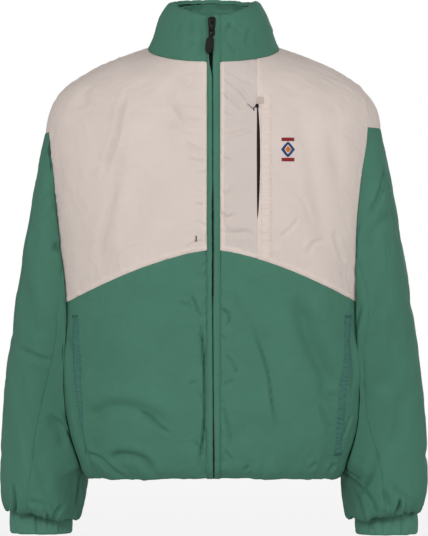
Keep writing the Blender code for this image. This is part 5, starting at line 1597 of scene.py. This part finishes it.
def ring_shape(rows, sides, power=2.0):
    """Points and faces of a closed shape along its first axis: a squarish ring at each row of
    (place, half width, half height), with a flat end made of four-cornered faces."""
    circle = np.stack(squarish(np.linspace(0, 2 * np.pi, sides + 1)[:-1] + np.pi / sides, power), 1)
    rows = np.array(rows, float)
    rings = circle[None] * rows[:, None, 1:]
    points = np.concatenate([rows[:, None, :1].repeat(sides, 1), rings], axis=2).reshape(-1, 3)
    wall = cells(ring_numbers(len(rows), sides))
    cap = np.array([[0, i, i + 1, i + 2] for i in range(1, sides - 2, 2)])
    return points, np.concatenate([wall[:, ::-1], cap, cap[:, ::-1] + len(points) - sides])


def frame_along(points, normals):
    """At each point of a line, its own directions: along, aside and outwards."""
    along = unit(np.gradient(points, axis=0))
    aside = unit(np.cross(normals, along))
    return np.stack([along, aside, np.cross(along, aside)], axis=1)


def even_line(points, normals, spacing):
    """Places at equal distances along a line, with the directions out of the cloth there."""
    travelled = lengths(points, 0)
    at = np.arange(spacing / 2, travelled[-1], spacing)
    return resampled(points, travelled, at), unit(resampled(normals, travelled, at))


places, normals = even_line(*front_line(0.0), TOOTH_PITCH)
frames = frame_along(places, normals)
handed = np.where(np.arange(len(places)) % 2, 1, -1)
frames = np.stack([frames[:, 1] * handed[:, None], frames[:, 0] * handed[:, None], frames[:, 2]], 1)
TOOTH = (-2.6, 0.55, 0.45), (-0.9, 0.62, 0.8), (0.3, 0.85, 0.95), (0.95, 0.8, 0.9), (1.25, 0.45, 0.55)
tooth, tooth_faces = ring_shape(TOOTH, 6, 3)
pieces["zip_teeth"] = copies("zip_teeth", tooth, tooth_faces, places - normals * 1.2, frames, TEETH)
print("teeth:", len(places), " triangles:", triangles["zip_teeth"])

# %% [markdown]
# ## The slider and its pull
# The slider is a cast body with a plate on top and a bridge over it, which carries the pull. Its
# shapes are profiles carried along a path: a squarish ring whose width changes down the plate, an
# arch for the bridge, a closed loop for the link. The pull swings on the bridge, so the link and
# the moulded grip ride on the frame's second body, and they are built where the hinge is.

# %% The slider's own directions
SLIDER_LEVEL, SLIDER_X = 0.66, -2.6  # up the collar, and a little to the wearer's right of the gap
PULL_LEAN, PULL_SLANT = math.radians(5.5), 0.11  # outwards, and sideways for each millimetre down
BAND_RAISE, LAYER_GAP, PLATE, PIN_ABOVE = 0.6, 0.4, 3.0, 3.1  # folds, gap, plate, and up to the pin
LAYERS = BAND_RAISE + LAYER_GAP + PLATE

ends = ring_point(
    COLLAR_RINGS, np.full(2, math.pi / 2), np.array([SLIDER_LEVEL - 0.1, SLIDER_LEVEL + 0.1])
)
slope = math.atan2(ends[1, 1] - ends[0, 1], ends[1, 2] - ends[0, 2])
slider_middle = ends.mean(axis=0)


def on_slider(x, out, up):
    """A point so far across the zip, out from the collar and up along the zip."""
    x, out, up = np.broadcast_arrays(x, out, up)
    y = slider_middle[1] - out * math.cos(slope) + up * math.sin(slope)
    z = slider_middle[2] + out * math.sin(slope) + up * math.cos(slope)
    return np.stack([x + SLIDER_X, y, z], axis=-1)


def rod(path, widths, heights, aside, sides=16, power=2.6, closed=False):
    """A squarish ring carried along a path. Its width lies along aside, its height square to
    that and to the path. An open rod is shut by rings that shrink to nothing at both ends, and
    a closed one ends with its first ring again. Returns the rings' points and their faces."""
    path = np.asarray(path, float)
    ahead = np.roll(path, -1, 0) - np.roll(path, 1, 0) if closed else np.gradient(path, axis=0)
    aside = unit(np.broadcast_to(np.asarray(aside, float), path.shape))
    up = unit(np.cross(ahead, aside))
    across, above = (
        share[None, :, None] for share in squarish(np.linspace(0, 2 * np.pi, sides + 1)[:-1], power)
    )
    widths, heights = (np.broadcast_to(v, len(path))[:, None, None] for v in (widths, heights))
    rings = path[:, None] + aside[:, None] * across * widths + up[:, None] * above * heights
    if not closed:
        first, last = path[0], path[-1]
        start = [first + (rings[0] - first) * k for k in (1e-3, 0.7)]
        end = [last + (rings[-1] - last) * k for k in (0.7, 1e-3)]
        rings = np.concatenate([start, rings, end])
    numbers = ring_numbers(*rings.shape[:2])
    if closed:
        numbers = np.concatenate([numbers, numbers[:1]])
    points, faces = rings.reshape(-1, 3), cells(numbers)
    return points, faces[:, ::-1] if facing_inwards(points, faces) else faces


def hard_piece(name, rods, material):
    """One mesh from several rods."""
    starts = np.cumsum([0] + [len(points) for points, _ in rods])
    points = np.concatenate([points for points, _ in rods])
    faces = np.concatenate([faces + start for (_, faces), start in zip(rods, starts)])
    return plain_piece(name, points, faces, points[:, :2], material)


# %% Slider
# Up the plate: the place, half its width and half its thickness.
PLATE_ROWS = np.array([
    (-11, 3.2, 0.7), (-10.6, 3.9, 1.1), (-9, 4.3, 1.4), (-6, 4.4, 1.5), (-1, 4.7, 1.5),
    (5, 5.3, 1.5), (10, 5.75, 1.5), (13.8, 5.6, 1.4), (15.4, 4.9, 1.1), (15.8, 4.0, 0.7),
])
plate_up, plate_half, plate_thick = PLATE_ROWS.T
plate_out = BAND_RAISE + LAYER_GAP + PLATE / 2
plate = rod(on_slider(0, plate_out, plate_up), plate_half, plate_thick, (1, 0, 0), 28, 3.4)
turn = np.linspace(0, math.pi, 25)
bridge_path = on_slider(0, plate_out + 1.2 + 4.9 * np.sin(turn) ** 0.6, 2.0 - 7.2 * np.cos(turn))
bridge = rod(bridge_path, 2.1 - 0.5 * np.sin(turn), 0.75, (1, 0, 0), 14, 3)
wings = [
    rod(on_slider(x, plate_out - 0.2, np.linspace(-8.6, 8.6, 9)), 0.5, 1.7, (1, 0, 0), 10, 3)
    for x in (-4.1, 4.1)
]
pieces["zip_slider"] = hard_piece("zip_slider_cast", [plate, bridge, *wings], METAL)

# %% Pull
# Below the pin: the grip's half width and half thickness by the distance down.
GRIP_HALF = (
    (13.2, 1.8), (14.6, 2.7), (17.0, 2.9), (19.0, 5.3), (30, 5.9), (35.5, 5.4), (38.5, 3.6), (40.3, 2.0)
)
GRIP_THICK = (13.2, 0.7), (14.6, 1.2), (18, 1.5), (28, 1.5), (36, 1.3), (39.8, 1.0), (40.3, 0.6)
GRIP_ROWS = np.array([
    13.2, 13.6, 14.6, 16.5, 17.4, 18.3, 19.4, 20.5, 21.6, 22.7, 23.8,
    24.9, 26.0, 27.1, 28.2, 29.3, 30.5, 32.5, 35.5, 38.5, 39.8, 40.3,
])
RIB, RIB_PITCH, RIBS_FROM = 0.28, 1.1, 18.3

pin = on_slider(0, LAYERS + PIN_ABOVE, 2.0)


def below_pin(x, out, drop):
    """A point so far across, out from and below the pin, with the pull at rest on the collar."""
    x, out, drop = np.broadcast_arrays(x, out, drop)
    return np.stack([
        pin[0] + x - PULL_SLANT * drop,
        pin[1] - out * math.cos(PULL_LEAN) - drop * math.sin(PULL_LEAN),
        pin[2] + out * math.sin(PULL_LEAN) - drop * math.cos(PULL_LEAN),
    ], axis=-1)


across, above = squarish(np.linspace(0, 2 * np.pi, 41)[:-1], 2.5)
link = rod(below_pin(2.7 * across, 0, 6.4 - 8.6 * above), 0.75, 0.75, (0, 1, 0), 10, 2, closed=True)
half, thick = (np.interp(GRIP_ROWS, *zip(*table)) for table in (GRIP_HALF, GRIP_THICK))
waves = RIB * np.sin((GRIP_ROWS - RIBS_FROM) * math.pi / RIB_PITCH + math.pi / 2)
ribs = np.where((GRIP_ROWS > 18) & (GRIP_ROWS < 30), waves, 0)
grip = rod(below_pin(0, 0, GRIP_ROWS), half, thick + ribs, (1, 0, 0), 24, 3.0)
pieces["zip_pull"] = hard_piece("zip_pull_moulded", [link, grip], PLASTIC)
print("slider and pull:", triangles["zip_slider_cast"] + triangles["zip_pull_moulded"], "triangles")

# %% [markdown]
# ## Pockets and stitching
# The chest pocket's zip shows in a slit between two panels, with a stitched strip beside it. The
# hand pockets are strips near the side seams. A strip is a thin layer on its panel that the
# stitching draws into fine puckers square to its length.

# %% Strips
# Across a strip: the places of its columns as shares of its width, closer towards its edges.
HALF_COLUMNS = np.array([0, 0.15, 0.27, 0.35, 0.4, 0.45, 0.485, 0.5])
COLUMNS = np.concatenate([-HALF_COLUMNS[:0:-1], HALF_COLUMNS])
STITCHED, STRIP_ROW = 0.36, 1.15  # the stitch lines' share of the width, and the rows' spacing


def strip(name, side, ends, z_range, width, pitch, outside, pucker):
    """A strip whose middle runs from one (x) to another down the panel. Its cross-section is
    flat, with a dip at each stitch line and rounded edges, and puckers run across it."""
    low, high = z_range
    share = np.linspace(0, 1, round((high - low) / STRIP_ROW))
    x = SIDES[side] * (ends[0] + (ends[1] - ends[0]) * share**0.8)
    angle, level = front_place(x, low + (high - low) * share)
    step = ring_point(BODY_RINGS, angle + 0.01, level) - ring_point(BODY_RINGS, angle - 0.01, level)
    reach = np.linalg.norm(step, axis=-1) / 0.02
    offset = width * COLUMNS
    # A millimetre of cloth is this part of the angle, and angles grow towards -x on the front.
    angles = angle[:, None] - offset / reach[:, None]
    levels = level[:, None] + 0 * offset
    face, normal = body_cloth(angles, levels)
    from_middle = np.abs(offset) / width
    profile = 0.9 * np.sqrt(np.clip(1 - (from_middle / 0.503) ** 6, 0, 1))
    profile = profile - 0.7 * np.exp(-(((from_middle - STITCHED) / 0.05) ** 2))
    run = share[:, None] * (high - low)
    ripple = cloud(run, offset[None] * 0.5, pitch, sum(map(ord, name)))
    wander = 2 * cloud(run, 0 * run, 14, 5)
    ripple = ripple + 0.5 * np.sin(run * 2 * np.pi / (pitch * 1.9) + wander)
    in_ends = smooth(share / 0.02)[:, None], smooth((1 - share) / 0.02)[:, None]
    profile = profile + pucker * ripple * in_ends[0] * in_ends[1]
    outer_face = face + normal * profile[..., None]
    LAID[name] = outer_face, normal
    cuts[name] = (width, float(lengths(outer_face, 0)[-1].mean()), sheet_area(outer_face.repeat(2, 1)))
    return shell(name, outer_face, face - normal * 0.2, outside, outside)


pieces["chest_pocket_welt"] = strip(
    "chest_strip", "left", (73.6, 74.2), (-301, -70), 16.0, 3.0, PALE_DOUBLED, 0.5
)
for side, ends in (("right", (184.0, 198.0)), ("left", (176.5, 192.0))):
    pieces[f"hand_pocket_welt_{side}"] = strip(
        f"hand_strip_{side}", side, ends, (-584, -383), 15.0, 2.7, GREEN_STRIP, 0.8
    )
print("strips:", {name: round(cuts[name][1]) for name in cuts if "strip" in name}, "mm long")

# %% The chest pocket's zip
COIL_PITCH, COIL_RIDGE = 1.5, 0.9
SLIDER_PLACE = 61.8, -88.0  # its x and z

levels = np.linspace(CHEST_SLIT[1] - 24, CHEST_SLIT[0] + 24, 110)
across = CHEST_SEAM_X + np.linspace(-7, 7, 13)
angle = angle_at(across[:, None], levels)
face, normal = body_cloth(angle, levels + 0 * angle)
ridge = COIL_RIDGE * np.exp(-(((across - CHEST_SEAM_X) / 1.3) ** 2))[:, None]
face_out = face + normal * (-3.2 + ridge)[..., None]
pieces["chest_pocket_zip"] = shell("chest_zip_tape", face_out, face - normal * 4.3, BROWN_TAPE, BROWN_TAPE)
places, normals = even_line(face_out[6], normal[6], COIL_PITCH)
frames = frame_along(places, normals)
coil, coil_faces = ring_shape([(-0.5, 0.9, 0.25), (-0.2, 1.5, 0.5), (0.2, 1.5, 0.5), (0.5, 0.9, 0.25)], 8)
pieces["chest_coil"] = copies("chest_zip_coil", coil, coil_faces, places, frames, BROWN_TAPE)


def spot_at(x, z):
    """The point of the front's cloth at an x and z, and the direction out of it."""
    return (v[0] for v in body_cloth(*front_place(np.array([x]), np.array([z]))))


spot, spot_normal = spot_at(*SLIDER_PLACE)


def beside_slider(rows):
    """A smooth line through rows of (right of the slider, out from the cloth, up from it)."""
    across, out, up = np.array(rows, float).T
    knots = spot + spot_normal * out[:, None] + np.stack([across, 0 * up, up], axis=-1)
    return through(np.arange(len(rows)), knots, np.linspace(0, len(rows) - 1, 6 * len(rows)))


# The wire hook and the loop of thread through it, as rows for beside_slider.
HOOK = (
    (0.6, 0.6, -8), (0.9, 2.2, -1), (0.5, 3.0, 1.2), (-2.2, 3.2, -0.6),
    (-5.2, 3.0, -3.6), (-4.4, 2.6, -6.2), (-1.2, 2.2, -8.4),
)
LOOP = (-14.2, 1.4, 3.8), (-10.5, 3.0, 0.2), (-7.0, 3.6, -3.4), (-4.0, 3.0, -6.4), (-2.0, 2.0, -9.5)
tab = rod(beside_slider(HOOK), 0.8, 0.7, (0.2, 1, 0), 8)
thread = rod(beside_slider(LOOP), 0.4, 0.4, (0.2, 1, 0), 6)
body_path = spot + spot_normal * -0.6 + [0, 0, -1] * np.linspace(-4.5, 4.5, 9)[:, None]
body_half = np.array([1.5, 2.1, 2.3, 2.3, 2.2, 2.1, 2.0, 1.9, 1.4])
slide = rod(body_path, body_half, 1.0, (1, 0, 0), 14, 3)
pieces["chest_slider"] = hard_piece("chest_zip_slider", [tab, thread, slide], METAL)
print("coils:", len(places))

# %% Stitches
STITCH_PITCH = 3.1
STITCH = (-1.25, 0.08, 0.06), (-0.95, 0.24, 0.2), (0.95, 0.24, 0.2), (1.25, 0.08, 0.06)
STRIP_LINES, BAND_LINE = (3, 11), 8  # the columns of a strip, and the row of a band, with stitches
stitch, stitch_faces = ring_shape(STITCH, 6)


def stitches(name, lines, material):
    """Short threads at equal steps along lines of (points, normals) on a piece."""
    found = [even_line(points, normals, STITCH_PITCH) for points, normals in lines]
    places = np.concatenate([p for p, _ in found])
    frames = np.concatenate([frame_along(p, n) for p, n in found])
    pieces[name] = copies(name, stitch, stitch_faces, places, frames, material)


def strip_lines(*names):
    """The two stitch lines of each strip."""
    return [[grid[:, column] for grid in LAID[name]] for name in names for column in STRIP_LINES]


HAND_STRIPS = [f"hand_strip_{side}" for side in SIDES]
stitches("chest_strip_stitches", strip_lines("chest_strip"), PALE_THREAD)
stitches("hand_strip_stitches", strip_lines(*HAND_STRIPS), GREEN_THREAD)
stitches("zip_band_stitches", [
    [grid[BAND_LINE] for grid in LAID[f"zip_band_{side}_cloth"]] for side in SIDES
], GREEN_THREAD)


# %% Bar tacks
TACK_PITCH = 0.45


def bar_tack(place, normal, along, length, width):
    """The places and frames of a row of close threads across a short bar."""
    along = unit(along - normal * (along @ normal))
    frame = np.stack([np.cross(normal, along), along, normal]) * [[width / 2.5], [1], [1]]
    return [(place + along * at, frame) for at in np.arange(-length / 2, length / 2, TACK_PITCH)]


def tack_piece(name, threads, material):
    """One mesh of all these threads."""
    places, frames = (np.array(v) for v in zip(*threads))
    return copies(name, stitch, stitch_faces, places, frames, material)


threads = []
for name in HAND_STRIPS:
    face, normal = LAID[name]
    for row in (2, -3):
        place = face[row, 7] + normal[row, 7] * 0.15
        threads += bar_tack(place, normal[row, 7], face[row, 14] - face[row, 0], 14.0, 3.2)
pieces["bar_tacks"] = tack_piece("hand_strip_tacks", threads, GREEN_THREAD)
spot, spot_normal = spot_at(-24.5, -275.0)
threads = bar_tack(spot + spot_normal * 0.1, spot_normal, np.array([0.05, 0, 1.0]), 8.0, 1.6)
pieces["yoke_tack"] = tack_piece("yoke_tack", threads, TAPE)
print("stitching:", sum(v for k, v in triangles.items() if "stitch" in k or "tack" in k), "triangles")

# %% [markdown]
# ## The embroidered patch
# A small satin-stitched motif stands on the left chest. The one here is a plain lozenge between
# two bars, which belongs to nobody. Satin stitch is thread laid side by side until it covers the
# cloth, so each colour is a low dome whose thread count comes from its UV map.

# %% Motif
MOTIF_X, MOTIF_Z = 105.0, -149.0


def satin(name, half_width, rise, low, high, material, lift, middle=MOTIF_X):
    """A shape between two heights, whose half width at a share of the way up is given. Its face
    is a low dome, 1 minus the square of the distance from the middle line to the power 3."""
    up = np.linspace(0, 1, 41)[:, None]
    across = np.linspace(-1, 1, 17)[None]
    x = middle + across * np.maximum(half_width(up), 0.15)
    z = MOTIF_Z + low + (high - low) * up + 0 * across
    face, normal = body_cloth(*front_place(x, z))
    dome = (1 - across**6) * np.clip(np.minimum(up, 1 - up) / 0.03, 0, 1)
    out = lift + rise * dome + 0.06 * cloud(z * 2, x * 0.3, 0.9, 7)
    back = face + normal * (lift - 0.4)
    pieces[name] = shell(name, face + normal * out[..., None], back, material, material)


def lozenge(half):
    """A half width that grows to the middle and shrinks again, with sides a little bowed."""
    return lambda up: half * (1 - np.abs(2 * up - 1)) ** 0.8


def bar(half):
    """The same half width all the way up."""
    return lambda up: half + 0 * up


for name, half_width, rise, low, high, material, lift in (
    ("motif_top", bar(9.0), 0.6, 11.8, 16.8, RED_THREAD, 0.3),
    ("motif_lozenge", lozenge(9.8), 0.6, -11.0, 11.0, BLUE_THREAD, 0.3),
    ("motif_ring", lozenge(5.6), 0.4, -6.6, 6.6, CREAM_THREAD, 0.7),
    ("motif_heart", lozenge(4.2), 0.4, -4.8, 4.8, ORANGE_THREAD, 1.1),
    ("motif_foot", bar(9.0), 0.6, -16.8, -11.8, RED_THREAD, 0.3),
):
    satin(name, half_width, rise, low, high, material, lift)
satin("zip_end_patch", bar(4.6), 0.25, 65.0, 75.0, PALE_SHADED, 1.1, middle=67.0)
print("motif:", [name for name in pieces if name.startswith("motif")])

# %% [markdown]
# ## What each piece is
# Every piece rides on a body of the frame, and its finish slot is looked up in a table but not
# given to it. A piece that stands in place of a plain wall hides it. Each piece of cloth states the flat
# size that it is cut to.

# %% Bodies, slots and replaced walls
SLOTS = {
    "pale_cloth": (
        PALE, PALE_SHADED_BESIDE_ZIP, PALE_DOUBLED, PALE_SHADED, PALE_THREAD,
        BLUE_THREAD, CREAM_THREAD, RED_THREAD, ORANGE_THREAD,
    ),
    "zip_tape": (TAPE, TEETH), "pocket_zip": (BROWN_TAPE,),
    "black_metal": (METAL,), "black_pull": (PLASTIC,),
}
slot_of = {material: slot for slot, materials in SLOTS.items() for material in materials}
for node, piece in pieces.items():
    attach(piece, "pull" if node == "zip_pull" else "jacket")
    slot_of.get(piece.data.materials[0], "green_cloth")
    if node in frame["nodes"]:
        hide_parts(node)
missing = set(frame["nodes"]) - set(pieces)
print("nodes with no piece:", sorted(missing))

# %% Flat cuts
HELD = {
    "front_yoke_right": ("hung", "collar sleeve_cap_right front_lower_right"),
    "front_yoke_left_inner": ("hung", "collar front_yoke_left_outer front_lower_left"),
    "front_yoke_left_outer": ("hung", "collar sleeve_cap_left front_lower_left"),
    "front_lower_right": ("hung", "front_yoke_right"),
    "front_lower_left": ("hung", "front_yoke_left_outer"),
    "back_yoke": ("hung", "collar back_lower"),
    "back_lower": ("hung", "back_yoke"),
    "sleeve_cap_right": ("hung", "front_yoke_right back_yoke"),
    "sleeve_cap_left": ("hung", "front_yoke_left_outer back_yoke"),
    "sleeve_outer_right": ("hung", "sleeve_cap_right"),
    "sleeve_outer_left": ("hung", "sleeve_cap_left"),
    "sleeve_under_right": ("hung", "sleeve_outer_right"),
    "sleeve_under_left": ("hung", "sleeve_outer_left"),
    "cuff_right": ("gathered", "sleeve_outer_right"),
    "cuff_left": ("gathered", "sleeve_outer_left"),
    "collar": ("folded", "back_yoke"),
    "collar_facing": ("folded", "collar"),
    "hem_band": ("gathered", "back_lower"),
    "zip_band_right": ("folded", "front_yoke_right"),
    "zip_band_left": ("folded", "front_yoke_left_inner"),
    "chest_pocket_welt": ("laid", "front_yoke_left_outer"),
    "hand_pocket_welt_right": ("laid", "front_lower_right"),
    "hand_pocket_welt_left": ("laid", "front_lower_left"),
}
for node, (held, neighbours) in HELD.items():
    piece = pieces[node]
    width, length, area = cuts[piece.name]
    flat = (round(width * MM, 4), round(length * MM, 4))
    area = math.floor(min(area, flat[0] * flat[1]) * 1e6) / 1e6
    print(f"{piece.name}: {flat[0]:.3f} x {flat[1]:.3f} m, {area:.4f} square metres")

# %% Sizes, and the last line
print("triangles in all:", sum(triangles.values()))
